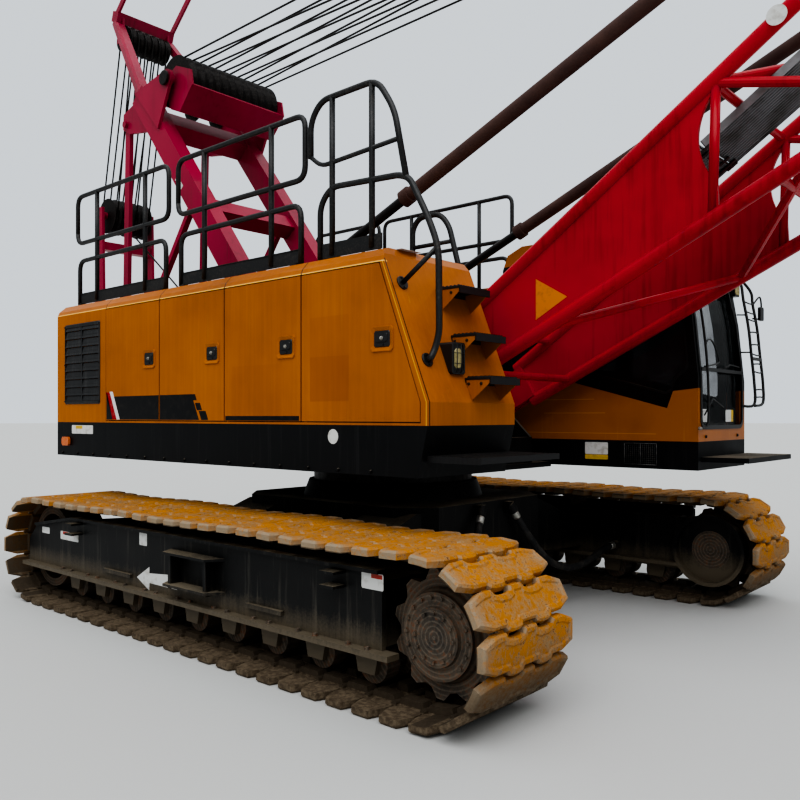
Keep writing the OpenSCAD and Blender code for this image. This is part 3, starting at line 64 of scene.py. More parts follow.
# Travel hoses: a bundle of hydraulic hoses in a woven nylon sleeve for each travel motor, from a
# swivel union on the car body down in a free loop to the track frame, with a crimped collar at each end.
class Field:
    """A shader socket that adds, multiplies and compares like a number."""

    def __init__(self, finish, socket):
        self.finish, self.socket = finish, socket

    def maths(self, operation, a, b, clamp=False):
        return self.finish.node(
            "ShaderNodeMath", {"operation": operation, "use_clamp": clamp}, {0: a, 1: b})

    def __add__(self, other):
        return self.maths("ADD", self, other)

    def __sub__(self, other):
        return self.maths("SUBTRACT", self, other)

    def __rsub__(self, other):
        return self.maths("SUBTRACT", other, self)

    def __mul__(self, other):
        return self.maths("MULTIPLY", self, other)

    def __gt__(self, other):
        return self.maths("GREATER_THAN", self, other)

    def __lt__(self, other):
        return self.maths("LESS_THAN", self, other)

    __radd__ = __add__
    __rmul__ = __mul__

    def most(self, other):
        return self.maths("MAXIMUM", self, other)

    def least(self, other):
        return self.maths("MINIMUM", self, other)

    def power(self, other):
        return self.maths("POWER", self, other)

    def size(self):
        return self.maths("ABSOLUTE", self, 0)

    def wave(self):
        return self.maths("SINE", self, 0)

    def near(self, middle, reach):
        """1 less than reach away from middle, else 0."""
        return (self - middle).size() < reach

    def between(self, low, high):
        """0 at low, 1 at high, held at both ends."""
        return self.maths("MULTIPLY", self - low, 1 / (high - low), clamp=True)


class Finish:
    """One material: its nodes are added by node(), its shader is set by surface()."""

    def __init__(self, name):
        self.material = bpy.data.materials.new(name)
        self.material.use_nodes = True
        self.tree = self.material.node_tree
        self.tree.nodes.clear()
        self.place = self.node("ShaderNodeTexCoord", {}, {}, "Object")
        self.facing = self.node("ShaderNodeTexCoord", {}, {}, "Normal")

    def node(self, kind, settings, inputs, out=0):
        made = self.tree.nodes.new(kind)
        for key, value in settings.items():
            setattr(made, key, value)
        for key, value in inputs.items():
            if isinstance(value, Field):
                self.tree.links.new(value.socket, made.inputs[key])
            else:
                made.inputs[key].default_value = value
        return Field(self, made.outputs[out])

    def axes(self, vector=None):
        spot = vector or self.place
        return [self.node("ShaderNodeSeparateXYZ", {}, {0: spot}, k) for k in range(3)]

    def noise(self, scale, detail=3, rough=0.55, stretch=None):
        spot = self.place
        if stretch:
            spot = self.node("ShaderNodeVectorMath", {"operation": "MULTIPLY"}, {0: spot, 1: stretch})
        return self.node("ShaderNodeTexNoise", {"noise_dimensions": "3D"},
                         {"Vector": spot, "Scale": scale, "Detail": detail, "Roughness": rough}, 0)

    def weather(self, across, down, cloud, grit):
        """Rain streaks (their scales across and down), clouds of dust and fine grit."""
        return (self.noise(1.0, 5, 0.6, (across, across, down)), self.noise(cloud, 4), self.noise(grit, 3, 0.7))

    def mix(self, mask, under, over):
        """The colour over, laid on the colour under where mask is 1."""
        return self.node("ShaderNodeMix", {"data_type": "RGBA", "clamp_factor": True},
                         {0: mask, 6: under if isinstance(under, Field) else (*under, 1),
                          7: over if isinstance(over, Field) else (*over, 1)}, 2)

    def surface(self, colour, rough, metal=0.0, bump=None, strength=0.3, depth=0.002, **sockets):
        """Sets the shader; coat, specular and alpha go by those names."""
        inputs = {"Base Color": colour if isinstance(colour, Field) else (*colour, 1),
                  "Roughness": rough, "Metallic": metal}
        for key, socket in (("coat", "Coat Weight"), ("specular", "Specular IOR Level"), ("alpha", "Alpha")):
            if key in sockets:
                inputs[socket] = sockets[key]
        if bump is not None:
            inputs["Normal"] = self.node(
                "ShaderNodeBump", {}, {"Strength": strength, "Distance": depth, "Height": bump})
        shader = self.node("ShaderNodeBsdfPrincipled", {}, inputs)
        end = self.tree.nodes.new("ShaderNodeOutputMaterial")
        self.tree.links.new(shader.socket, end.inputs["Surface"])
        return self


def patchy(name, noise, low, high, under, over, rough, metal=0.0, relief=0.0, **more):
    """A finish with patches of a second colour, where noise(*noise) passes from low to high."""
    made = Finish(name)
    patches = made.noise(*noise)
    if relief:
        more.update(bump=patches, strength=relief)
    return made.surface(made.mix(patches.between(low, high), under, over), rough, metal, **more)


def circle(radius, count, u=0.0, v=0.0, start=0.0):
    """Pairs on a circle round (u, v)."""
    angles = (math.tau * (k + start) / count for k in range(count))
    return [(u + radius * math.cos(a), v + radius * math.sin(a)) for a in angles]


def level(x0, x1, y0, y1, z):
    """The corners of a flat rectangle at one height."""
    return [(x0, y0, z), (x1, y0, z), (x1, y1, z), (x0, y1, z)]


class Build:
    """Points and faces gathered for one mesh."""

    def __init__(self):
        self.points, self.faces = [], []

    def skin(self, *rings, caps=True):
        """Adds a skin over rings with equally many points, and a face over each end."""
        base, count = len(self.points), len(rings[0])
        for ring in rings:
            self.points += ring
        ends = range(base, len(self.points) - count, count)
        self.faces += [(low + k, low + (k + 1) % count, low + count + (k + 1) % count, low + count + k)
                       for low in ends for k in range(count)]
        if caps:
            last = len(self.points) - count
            self.faces += [tuple(base + k for k in reversed(range(count))), tuple(last + k for k in range(count))]
        return self

    def box(self, x0, x1, y0, y1, z0, z1):
        return self.skin(level(x0, x1, y0, y1, z0), level(x0, x1, y0, y1, z1))

    def mesh(self, name, outwards=True):
        """The mesh; the faces of a closed one are turned outwards."""
        mesh = bpy.data.meshes.new(name)
        mesh.from_pydata([tuple(p) for p in self.points], [], self.faces)
        shape = bmesh.new()
        shape.from_mesh(mesh)
        if outwards and all(edge.is_manifold for edge in shape.edges):
            bmesh.ops.recalc_face_normals(shape, faces=shape.faces)
            shape.to_mesh(mesh)
        shape.free()
        return mesh

    def piece(self, name, finish, body="upper", smooth=False):
        return show(name, self.mesh(name), finish, body, smooth)


def show(name, mesh, finish, body="upper", smooth=False):
    """Sets a mesh in its place as one piece that rides on a body."""
    if finish:
        mesh.materials.append(finish.material)
    for face in mesh.polygons:
        face.use_smooth = smooth
    made = bpy.data.objects.new(name, mesh)
    bpy.context.collection.objects.link(made)
    if body:
        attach(made, body)
    return made


def tube_rings(route, radius, sides):
    """Rings of points round a route, each square to it."""
    rings, across = [], None
    for i, spot in enumerate(route):
        forward = (Vector(route[min(i + 1, len(route) - 1)]) - Vector(route[max(i - 1, 0)])).normalized()
        if across is None:
            across = forward.orthogonal().normalized()
        across = (across - forward * across.dot(forward)).normalized()
        up = forward.cross(across)
        rings.append([Vector(spot) + u * across + v * up for u, v in circle(radius, sides)])
    return rings


def tube(name, routes, radius, finish, body="upper", sides=8):
    """Round tubes along routes, as one piece with a UV map that runs along them."""
    build, uv = Build(), []
    for route in routes:
        build.skin(*tube_rings(route, radius, sides))
        start = 0.0
        for a, b in zip(route, route[1:]):
            end = start + (Vector(b) - Vector(a)).length
            for k in range(sides):
                uv += [(k / sides, start), ((k + 1) / sides, start), ((k + 1) / sides, end), (k / sides, end)]
            start = end
        uv += [(k / sides, 0) for k in range(2 * sides)]
    mesh = build.mesh(name, outwards=False)
    layer = mesh.uv_layers.new(name="along")
    for loop in mesh.loops:
        layer.data[loop.index].uv = uv[loop.index]
    return show(name, mesh, finish, body, smooth=True)


def smooth_route(route, steps):
    """The route with points added between its own on one smooth curve."""
    made = []
    for i in range(len(route) - 1):
        a, b = Vector(route[max(i - 1, 0)]), Vector(route[i])
        c, d = Vector(route[i + 1]), Vector(route[min(i + 2, len(route) - 1)])
        for k in range(steps):
            t = k / steps
            made.append(0.5 * (2 * b + (c - a) * t + (2 * a - 5 * b + 4 * c - d) * t * t
                               + (3 * b - a - 3 * c + d) * t ** 3))
    return made + [Vector(route[-1])]


HOSE_RADIUS = 0.027
hose_route = [(1.050, 0.215, 0.765), (1.068, 0.262, 0.690), (1.088, 0.315, 0.612), (1.108, 0.372, 0.535),
              (1.128, 0.435, 0.460), (1.148, 0.508, 0.392), (1.166, 0.592, 0.335), (1.182, 0.688, 0.297),
              (1.196, 0.790, 0.278), (1.208, 0.895, 0.276), (1.218, 1.000, 0.290), (1.226, 1.100, 0.315),
              (1.232, 1.195, 0.344), (1.237, 1.290, 0.371), (1.240, 1.375, 0.385), (1.240, 1.440, 0.385)]
sleeve = Finish("woven_sleeve")
around, along, _ = sleeve.axes(sleeve.node("ShaderNodeUVMap", {"uv_map": "along"}, {}))
braid = (around * 150 + along * 900).wave() * (around * 150 - along * 900).wave()
grime = sleeve.noise(14)
sleeve.surface(sleeve.mix(grime.between(0.45, 0.8), (0.012, 0.012, 0.013), (0.07, 0.06, 0.048)),
               0.75 - grime * 0.2, bump=braid, strength=0.5, depth=0.001)
collar = patchy("plated_collar", (30,), 0.4, 0.75, (0.55, 0.54, 0.5), (0.2, 0.17, 0.13), 0.42, 0.8)
SIDES = ((-1, "right"), (1, "left"))
for side, name in SIDES:
    route = [(x, side * y, z) for x, y, z in hose_route]
    hose = tube(f"travel_hose_{name}", [route], HOSE_RADIUS, sleeve, "undercarriage", sides=20)
    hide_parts(f"hose_{name}")
    for label, a, b in (("upper", route[0], route[1]), ("lower", route[-1], route[-2])):
        inward = (Vector(b) - Vector(a)).normalized()
        rings = [tube_rings([Vector(a) + inward * t, Vector(a) + inward * (t + 0.01)], HOSE_RADIUS + swell, 24)[0]
                 for t, swell in ((0, 0.0006), (0.006, 0.006), (0.014, 0.0035), (0.05, 0.0035), (0.058, 0.0006))]
        crimp = Build().skin(*rings, caps=False).piece(
            f"hose_collar_{label}_{name}", collar, "undercarriage", smooth=True)
        shell = crimp.modifiers.new("wall", "SOLIDIFY")
        shell.thickness, shell.offset = 0.0005, -1

# The studio: a plain pale floor as wide as the view, a soft overcast dome, and one broad soft light
# high on the camera's side that gives the flanks their gentle shading.
floor_finish = Finish("studio_floor")
floor_finish.surface((0.50, 0.50, 0.49), 0.9)
ground = Build()
ground.points = [(u, v, -0.001) for u, v in circle(180, 64)]
ground.faces = [tuple(range(64))]
floor = ground.piece("floor", floor_finish, None)
world = bpy.data.worlds.new("overcast")
world.use_nodes = True
sky = world.node_tree
place, height, ramp, seen, chosen = (sky.nodes.new("ShaderNode" + kind) for kind in (
    "TexCoord", "SeparateXYZ", "ValToRGB", "LightPath", "Mix"))
chosen.data_type = "RGBA"
chosen.inputs[7].default_value = (0.70, 0.75, 0.80, 1)
for stop, (spot, shade) in zip(ramp.color_ramp.elements, ((0.02, 0.16), (0.75, 1.0))):
    stop.position, stop.color = spot, (shade * 0.92, shade * 0.97, shade, 1)
dome = sky.nodes["Background"]
for start, end in ((place.outputs["Generated"], height.inputs[0]), (height.outputs[2], ramp.inputs[0]),
                   (ramp.outputs[0], chosen.inputs[6]), (seen.outputs["Is Camera Ray"], chosen.inputs[0]),
                   (chosen.outputs[2], dome.inputs[0])):
    sky.links.new(start, end)
dome.inputs[1].default_value = 1.0
bpy.context.scene.world = world
bpy.context.scene.view_settings.look = "AgX - High Contrast"
for name, energy, spread, turn in (("key", 1.5, 60, (34, 10, 20)), ("fill", 0.25, 120, (50, 0, 150))):
    lamp = bpy.data.lights.new(name, "SUN")
    lamp.energy, lamp.angle = energy, math.radians(spread)
    light = bpy.data.objects.new(name, lamp)
    light.rotation_euler = [math.radians(a) for a in turn]
    bpy.context.collection.objects.link(light)

# Tracks: 56 cast steel shoes a side, pinned end to end by interlocking tongues. Each has a raised pad,
# two roller ribs and a drive lug inside. The paint is worn to dust and rust on top and caked below.
PIN_RADIUS, WHEEL_X, END_RADIUS, TRACK_Y, SHOES, SAG = 0.380, 2.055, 0.425, 1.745, 56, 0.014
straight, bend = 2 * WHEEL_X, math.pi * PIN_RADIUS
pitch = 2 * (straight + bend) / SHOES


def loop_point(s):
    """X and Z of the pins' line round a track, at the distance s along it."""
    if s < straight:
        x = s - WHEEL_X
        return x, END_RADIUS + PIN_RADIUS - SAG * math.sin(3 * math.pi * (x + WHEEL_X) / straight) ** 2
    if s < straight + bend:
        a = (s - straight) / PIN_RADIUS
        return WHEEL_X + PIN_RADIUS * math.sin(a), END_RADIUS + PIN_RADIUS * math.cos(a)
    if s < 2 * straight + bend:
        return WHEEL_X - (s - straight - bend), END_RADIUS - PIN_RADIUS
    a = (s - 2 * straight - bend) / PIN_RADIUS
    return -WHEEL_X - PIN_RADIUS * math.sin(a), END_RADIUS - PIN_RADIUS * math.cos(a)


def unlinked(name, shape):
    """An object of a bmesh, for repeat() alone."""
    mesh = bpy.data.meshes.new(name)
    shape.to_mesh(mesh)
    shape.free()
    return bpy.data.objects.new(name, mesh)


def shoe_shape():
    """One shoe: X along the track, Y across it, Z out of the loop, its pins at the height 0."""
    reach, half = pitch / 2 - 0.0045, 0.380
    front = [(reach, -0.285), (reach, -0.190), (reach + 0.018, -0.178), (reach + 0.026, -0.150),
             (reach + 0.026, -0.095), (reach + 0.018, -0.066), (reach, -0.055)]
    back = [(-reach, 0.285), (-reach, 0.195), (-reach + 0.024, 0.183), (-reach + 0.031, 0.150),
            (-reach + 0.031, 0.090), (-reach + 0.024, 0.062), (-reach, 0.050)]
    front += [(x, -y) for x, y in reversed(front)]
    back += [(x, -y) for x, y in reversed(back)]
    outline = front + [(0.62 * reach, half), (-0.62 * reach, half)] + back
    outline += [(-0.62 * reach, -half), (0.62 * reach, -half)]
    shape = bmesh.new()
    base = shape.faces.new([shape.verts.new((x, y, 0.002)) for x, y in outline])
    raised = bmesh.ops.extrude_face_region(shape, geom=[base])
    for v in (g for g in raised["geom"] if isinstance(g, bmesh.types.BMVert)):
        v.co.z = 0.033
    top = next(g for g in raised["geom"] if isinstance(g, bmesh.types.BMFace))
    bmesh.ops.inset_region(shape, faces=[top], thickness=0.011, depth=0.0)
    for v in top.verts:
        v.co.z = 0.0448
    for thickness in (0.022, 0.010):
        bmesh.ops.inset_region(shape, faces=[top], thickness=thickness, depth=0.0)
    for v in top.verts:
        v.co.z = 0.038
    for half_x, y0, y1, z0 in ((0.085, -0.200, -0.130, -0.036), (0.085, 0.130, 0.200, -0.036),
                               (0.040, -0.055, 0.055, -0.044)):
        for v in bmesh.ops.create_cube(shape, size=1)["verts"]:
            v.co = Vector((v.co.x * 2 * half_x * (0.8 if v.co.z < 0 else 1),
                           (y0 + y1) / 2 + v.co.y * (y1 - y0), (z0 + 0.004) / 2 + v.co.z * (0.004 - z0)))
    rod = bmesh.ops.create_cone(
        shape, segments=10, radius1=0.015, radius2=0.015, depth=0.46, cap_ends=True)["verts"]
    bmesh.ops.rotate(shape, verts=rod, matrix=Matrix.Rotation(math.pi / 2, 3, "X"))
    bmesh.ops.translate(shape, verts=rod, vec=(pitch / 2, 0, -0.004))
    bmesh.ops.recalc_face_normals(shape, faces=shape.faces)
    return unlinked("shape", shape)


def repeat_tree():
    """Sets a shape on every spot, turned as the spot says, and joins the copies in one mesh."""
    tree = bpy.data.node_groups.new("repeat_on_spots", "GeometryNodeTree")
    for name, kind in (("Spots", "Geometry"), ("Shape", "Object"), ("Size", "Float"), ("Finish", "Material")):
        tree.interface.new_socket(name, in_out="INPUT", socket_type="NodeSocket" + kind)
    tree.interface.new_socket("Pieces", in_out="OUTPUT", socket_type="NodeSocketGeometry")
    given, shape, turn, rotation, copies, joined, coated, result = (tree.nodes.new(kind) for kind in (
        "NodeGroupInput", "GeometryNodeObjectInfo", "GeometryNodeInputNamedAttribute",
        "FunctionNodeEulerToRotation", "GeometryNodeInstanceOnPoints", "GeometryNodeRealizeInstances",
        "GeometryNodeSetMaterial", "NodeGroupOutput"))
    turn.data_type = "FLOAT_VECTOR"
    turn.inputs["Name"].default_value = "turn"
    for a, out, b, into in (
            (given, "Spots", copies, "Points"), (given, "Shape", shape, "Object"), (given, "Size", copies, "Scale"),
            (given, "Finish", coated, "Material"), (shape, "Geometry", copies, "Instance"),
            (turn, "Attribute", rotation, "Euler"), (rotation, "Rotation", copies, "Rotation"),
            (copies, "Instances", joined, "Geometry"), (joined, "Geometry", coated, "Geometry"),
            (coated, "Geometry", result, "Pieces")):
        tree.links.new(a.outputs[out], b.inputs[into])
    return tree


repeat_group = repeat_tree()
repeat_inputs = {item.name: item.identifier for item in repeat_group.interface.items_tree if item.in_out == "INPUT"}


def repeat(name, shape, spots, finish, body="upper", size=1.0):
    """spots: (place, turn) for each copy of the shape, its turn as Euler angles."""
    mesh = bpy.data.meshes.new(name + "_spots")
    mesh.from_pydata([tuple(place) for place, _ in spots], [], [])
    turns = mesh.attributes.new("turn", "FLOAT_VECTOR", "POINT")
    for i, (_, turn) in enumerate(spots):
        turns.data[i].vector = tuple(turn)
    carrier = bpy.data.objects.new(name + "_spots", mesh)
    bpy.context.collection.objects.link(carrier)
    modifier = carrier.modifiers.new("repeat", "NODES")
    modifier.node_group = repeat_group
    for key, value in (("Shape", shape), ("Size", size), ("Finish", finish.material)):
        modifier[repeat_inputs[key]] = value
    graph = bpy.context.evaluated_depsgraph_get()
    result = bpy.data.meshes.new_from_object(carrier.evaluated_get(graph), depsgraph=graph)
    bpy.data.objects.remove(carrier)
    bpy.data.meshes.remove(mesh)
    result.name = name
    return show(name, result, None, body)


shoe_finish = Finish("worn_track_paint")
x, y, z = shoe_finish.axes()
_, face_y, _ = shoe_finish.axes(shoe_finish.facing)
patches, grit, fine = shoe_finish.noise(5.5, 4), shoe_finish.noise(38, 4, 0.7), shoe_finish.noise(110, 2)
paint = shoe_finish.mix(patches.between(0.35, 0.7), (0.46, 0.175, 0.010), (0.33, 0.120, 0.008))
dusty = shoe_finish.mix((grit + patches * 0.5).between(0.62, 0.96), paint, (0.33, 0.225, 0.12))
rusty = shoe_finish.mix((grit * 0.7 + fine * 0.5).between(0.66, 0.80), dusty, (0.11, 0.040, 0.015))
rims = (y.size() - TRACK_Y).size().between(0.30, 0.375) * patches.between(0.3, 0.6)
ends = (face_y.size().between(0.35, 0.8) * grit.between(0.2, 0.5)).most(rims)
chalky = shoe_finish.mix(ends * 0.85, rusty, (0.29, 0.24, 0.175))
earth = shoe_finish.mix(grit.between(0.4, 0.65), (0.085, 0.062, 0.042), (0.175, 0.135, 0.092))
caked = shoe_finish.mix((0.34 - z + grit * 0.25).between(0.0, 0.30), chalky, earth)
# Everything on the shoes inward of their pins' line is made dark brown.
inside = ((x.size() - WHEEL_X).most(0).power(2) + (z - END_RADIUS).power(2)).power(0.5) < 0.376
shoe_finish.surface(shoe_finish.mix(inside * 0.8, caked, (0.055, 0.042, 0.030)), 0.62 + grit * 0.3,
                    bump=grit + fine * 0.6, strength=0.55, depth=0.004, specular=0.12)
pins = [loop_point((i % SHOES + 0.35) * pitch) for i in range(SHOES + 1)]
spots = [(((ax + bx) / 2, side * TRACK_Y, (az + bz) / 2), (0, -math.atan2(bz - az, bx - ax), 0))
         for side in (-1, 1) for (ax, az), (bx, bz) in zip(pins, pins[1:])]
shoes = repeat("track_shoes", shoe_shape(), spots, shoe_finish, "undercarriage")
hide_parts("track_belt_right", "track_belt_left")


# Track frames: welded box beams in black paint. Dust lies on their ledges and treads, rain has washed
# streaks down the side plates, and the lower edge is caked with brown mud.
def dress(finish, *nodes):
    """Puts a finish on CAD nodes that keep their shape."""
    for name in nodes:
        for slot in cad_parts[name].material_slots:
            slot.material = finish.material


frame_black = Finish("frame_paint")
_, _, z = frame_black.axes()
_, _, up = frame_black.axes(frame_black.facing)
streaks, cloud, grit = frame_black.weather(26, 1.6, 3.2, 60)
black = frame_black.mix(cloud.between(0.35, 0.75), (0.0065, 0.0068, 0.0072), (0.013, 0.0125, 0.0118))
washed = frame_black.mix(streaks.between(0.57, 0.72) * 0.6, black, (0.070, 0.064, 0.054))
settled = frame_black.mix(up.between(0.5, 0.9) * (grit * 0.6 + cloud * 0.7).between(0.38, 0.72), washed,
                          (0.20, 0.165, 0.115))
mud = frame_black.mix((0.345 - z + grit * 0.12 + streaks * 0.14).between(0.04, 0.20), settled,
                      (0.125, 0.100, 0.068))
frame_black.surface(mud, 0.52 + up.between(0.4, 0.9) * 0.35, bump=grit + streaks * 0.4, strength=0.25,
                    specular=0.3)
dress(frame_black, "track_frame_right", "track_frame_left", "car_body")


# Blank stickers: printed film on the machine, here all without words. White ones carry a plain
# coloured band, as the real ones do, and every one has picked up a film of dust.
def plate(name, outline, axis, face, thick, finish, body="upper"):
    """A thin plate square to an axis, from face as far as thick; the outline is in the other two axes."""
    k = "xyz".index(axis)
    rings = [[(*spot[:k], at, *spot[k:]) for spot in outline] for at in (face, face + thick)]
    return Build().skin(*rings).piece(name, finish, body)


def outline(x0, x1, z0, z1, cut=0.0):
    """A rectangle, or one with its corners cut off."""
    return [(x0 + cut, z0), (x1 - cut, z0), (x1, z0 + cut), (x1, z1 - cut), (x1 - cut, z1), (x0 + cut, z1),
            (x0, z1 - cut), (x0, z0 + cut)] if cut else [(x0, z0), (x1, z0), (x1, z1), (x0, z1)]


sticker_finish = patchy("sticker_white", (22, 4), 0.5, 0.8, (0.66, 0.66, 0.64), (0.36, 0.33, 0.28), 0.5)
band_finish = patchy("sticker_band", (25, 4), 0.5, 0.8, (0.42, 0.030, 0.016), (0.25, 0.07, 0.04), 0.5)
SIDE_PLATE = 1.985
arrow = [(-0.607, 0.372), (-0.447, 0.462), (-0.447, 0.418), (-0.110, 0.447), (-0.110, 0.352), (-0.447, 0.352),
         (-0.447, 0.300)]
for side, name in SIDES:
    for label, shape, is_band in (
            (f"travel_arrow_{name}", arrow, False),
            (f"frame_sticker_{name}_0", outline(-0.575, -0.478, 0.600, 0.690, 0.006), False),
            (f"frame_sticker_{name}_1", outline(-2.06, -1.93, 0.545, 0.595, 0.006), False),
            (f"frame_sticker_{name}_2", outline(-1.74, -1.45, 0.525, 0.590, 0.006), False),
            (f"frame_sticker_band_{name}", outline(-1.70, -1.52, 0.566, 0.588), True),
            (f"frame_sticker_front_{name}", outline(1.585, 1.740, 0.605, 0.690, 0.006), False),
            (f"frame_sticker_front_band_{name}", outline(1.655, 1.733, 0.664, 0.686), True)):
        plate(label, shape, "y", side * (SIDE_PLATE + 0.001 * is_band), side * (0.0006 if is_band else 0.001),
              band_finish if is_band else sticker_finish, "undercarriage")

# Rollers, idlers and sprockets: steel castings and forgings, bare where they run and otherwise under
# dust and rust. The final drive's cover is turned, with rings, and held by a circle of bolts.
wheel_steel = Finish("wheel_steel")
x, _, z = wheel_steel.axes()
across, height = x.size() - WHEEL_X, z - END_RADIUS
radius = (across * across + height * height).power(0.5)
cloud, grit = wheel_steel.noise(6, 4), wheel_steel.noise(55, 4, 0.7)
rings = (radius * 260).wave()
crust = wheel_steel.mix((cloud + grit * 0.5).between(0.55, 0.95), (0.040, 0.033, 0.027), (0.150, 0.115, 0.080))
rust = wheel_steel.mix((grit + cloud * 0.4).between(0.72, 0.88), crust, (0.17, 0.06, 0.022))
turned_rings = wheel_steel.mix((rings * 0.5 + grit).between(0.55, 1.2) * 0.5, rust, (0.24, 0.20, 0.155))
wheel_steel.surface(turned_rings, 0.72, 0.15, bump=rings * 0.4 + grit, strength=0.35, depth=0.003)
dress(wheel_steel, *(f"{node}_{name}" for node in ("drive_wheel", "idler", "rollers") for _, name in SIDES))


def bolt_shape(radius=0.012, tall=0.009):
    """A hexagon bolt head on its washer, standing on the height 0."""
    shape = bmesh.new()
    for sides, low, high, depth, base in ((12, radius * 1.35, radius * 1.3, 0.0025, 0),
                                          (6, radius, radius, tall, 0.0025)):
        part = bmesh.ops.create_cone(shape, segments=sides, radius1=low, radius2=high, depth=depth, cap_ends=True)
        bmesh.ops.translate(shape, verts=part["verts"], vec=(0, 0, base + depth / 2))
    top = max(shape.faces, key=lambda f: f.calc_center_median().z)
    bmesh.ops.inset_region(shape, faces=[top], thickness=radius * 0.14, depth=0.0)
    for v in top.verts:
        v.co.z += 0.0012
    return unlinked("bolt", shape)


bolt = bolt_shape()


def bolts(name, spots, finish, body="upper", size=1.0):
    """Bolt heads at spots: (place, the way the bolt points out)."""
    turns = [(place, Vector(way).to_track_quat("Z", "Y").to_euler()) for place, way in spots]
    return repeat(name, bolt, turns, finish, body, size)


cover_bolts = [((u, side * face, v), (0, side, 0)) for side in (-1, 1)
               for count, ring, face in ((18, 0.190, 1.945), (12, 0.118, 1.967))
               for u, v in circle(ring, count, WHEEL_X, END_RADIUS) if v > 0.29]
bolts("undercarriage_bolts", cover_bolts, wheel_steel, "undercarriage")
bolts("roller_bolts", [(((i - 4) * 0.395 + dx, side * (TRACK_Y + 0.265), 0.302), (0, 0, 1))
                       for i in range(9) for dx in (-0.07, 0.07) for side in (-1, 1)],
      wheel_steel, "undercarriage", size=1.2)

# Slewing ring: a bolted ball race between the car body and the upper, greased and dusty.
ring_steel = Finish("slewing_ring_steel")
film = ring_steel.noise(20, 3)
ring_steel.surface(ring_steel.mix(film.between(0.4, 0.7), (0.035, 0.034, 0.033), (0.010, 0.009, 0.008)),
                   0.38 + film * 0.25, 0.7)
dress(ring_steel, "slew_ring")
bolts("slew_ring_bolts", [((u, v, 1.001), (0, 0, 1)) for u, v in circle(0.61, 36, start=0.5)], ring_steel,
      "undercarriage")


# Decks: folded steel trays under the houses and the cab, in black paint. Their deep skirts carry blank
# stickers, a side lamp and a round blank sign, with a bolt row near the lower edge.
HOUSE_Y = 1.600


def on_side(name, outline, thick, finish, body="upper", proud=0.0):
    """A thin plate on the right-hand side of the machine, its outline in X and Z."""
    plate(name, outline, "y", -HOUSE_Y - proud, -thick, finish, body)


deck_black = Finish("deck_paint")
x, y, _ = deck_black.axes()
_, _, up = deck_black.axes(deck_black.facing)
runs, cloud, grit = deck_black.weather(34, 1.3, 2.4, 80)
ink = deck_black.mix(cloud.between(0.35, 0.75), (0.0032, 0.0036, 0.0046), (0.0062, 0.0068, 0.0080))
seam = x.near(-1.745, 0.004) * (y.size() > 1.59)
trodden = deck_black.mix(runs.between(0.56, 0.74) * 0.35, ink, (0.030, 0.030, 0.031))
settled = up.between(0.5, 0.9) * (grit * 0.5 + cloud * 0.7).between(0.40, 0.70)
dust = deck_black.mix(settled, trodden, (0.16, 0.135, 0.10))
deck_black.surface(deck_black.mix(seam, dust, (0.001, 0.001, 0.001)),
                   0.36 + cloud * 0.3 + up.between(0.5, 0.9) * 0.3,
                   bump=runs * 0.4 + grit * 0.5 - seam * 3, strength=0.2, specular=0.22)
dress(deck_black, "deck_right", "deck_left", "cab_base", "upper_frame")
label_yellow = patchy("sticker_yellow", (24, 4), 0.5, 0.8, (0.66, 0.42, 0.015), (0.34, 0.24, 0.06), 0.5)
lamp_orange = Finish("side_lamp_lens")
lamp_orange.surface((0.62, 0.13, 0.008), 0.18, bump=(lamp_orange.axes()[0] * 900).wave(), strength=0.4, depth=0.001)
on_side("skirt_sticker_white", outline(-2.332, -1.962, 1.342, 1.415, 0.006), 0.0008, sticker_finish)
on_side("skirt_sticker_yellow", outline(-2.262, -2.145, 1.384, 1.411, 0.004), 0.0006, label_yellow, proud=0.0008)
on_side("skirt_round_sign", circle(0.045, 32, 0.965, 1.37), 0.0008, sticker_finish)
on_side("side_lamp", outline(-2.478, -2.352, 1.236, 1.312, 0.016), 0.020, lamp_orange, proud=0.004)
bolts("skirt_bolts", [((-2.50 + 0.27 * i, side * HOUSE_Y, 1.172), (0, side, 0)) for i in range(15)
                      for side in (-1, 1) if side < 0 or i < 11], deck_black, size=0.8)

# Machinery houses: pressed sheet steel in yellow gloss paint. The seams run on over the rounded roof edge,
# the crease above the doors and the front corner carry a painted highlight, and rain has drawn fine streaks down the
# doors.
DOOR_JOINTS = (-1.745, -0.945, -0.126, 0.674)
house_yellow = Finish("house_paint")
x, y, z = house_yellow.axes()
_, _, up = house_yellow.axes(house_yellow.facing)
runs, cloud, grit = house_yellow.weather(30, 1.1, 1.7, 90)
base = house_yellow.mix((cloud * 0.7 + runs * 0.5).between(0.42, 0.80), (0.47, 0.140, 0.0035), (0.34, 0.092, 0.0025))
chalk = house_yellow.mix(runs.between(0.60, 0.76) * 0.35, base, (0.58, 0.27, 0.045))
flank = (y < -1.5) * (z < 2.42)
low_patch = x.near(0.929, 0.171) * z.near(1.720, 0.137) * flank
patch = x.near(0.929, 0.171) * z.near(1.720, 0.137).most(z.near(1.979, 0.121)) * flank
wiped = x.near(0.215, 0.250) * z.near(1.640, 0.190) * flank
patched = house_yellow.mix(patch * 0.16 + low_patch * 0.20 + wiped * 0.12, chalk, (0.26, 0.055, 0.002))
scuffed = house_yellow.mix((grit * 0.6 + cloud * 0.6).between(0.70, 0.84) * 0.5, patched, (0.20, 0.10, 0.03))
settled = up.between(0.85, 0.98) * (cloud + grit * 0.4).between(0.45, 0.85) * 0.4
dusted = house_yellow.mix(settled, scuffed, (0.42, 0.30, 0.15))
first, second, third, fourth = ((x - joint).size() for joint in DOOR_JOINTS)
seam = (first.least(second).least(third).least(fourth) < 0.0045) * (z > 2.376) * (y.size() > 1.42)
# Painted highlights: a light line along the crease above the doors, and another beside the front corner of the side.
painted_crease_highlight = z.near(2.383, 0.0045) * (y < -1.57) * (x < 1.40)
past_front = x - 1.710 + (z - 1.570).most(0) * 0.4047
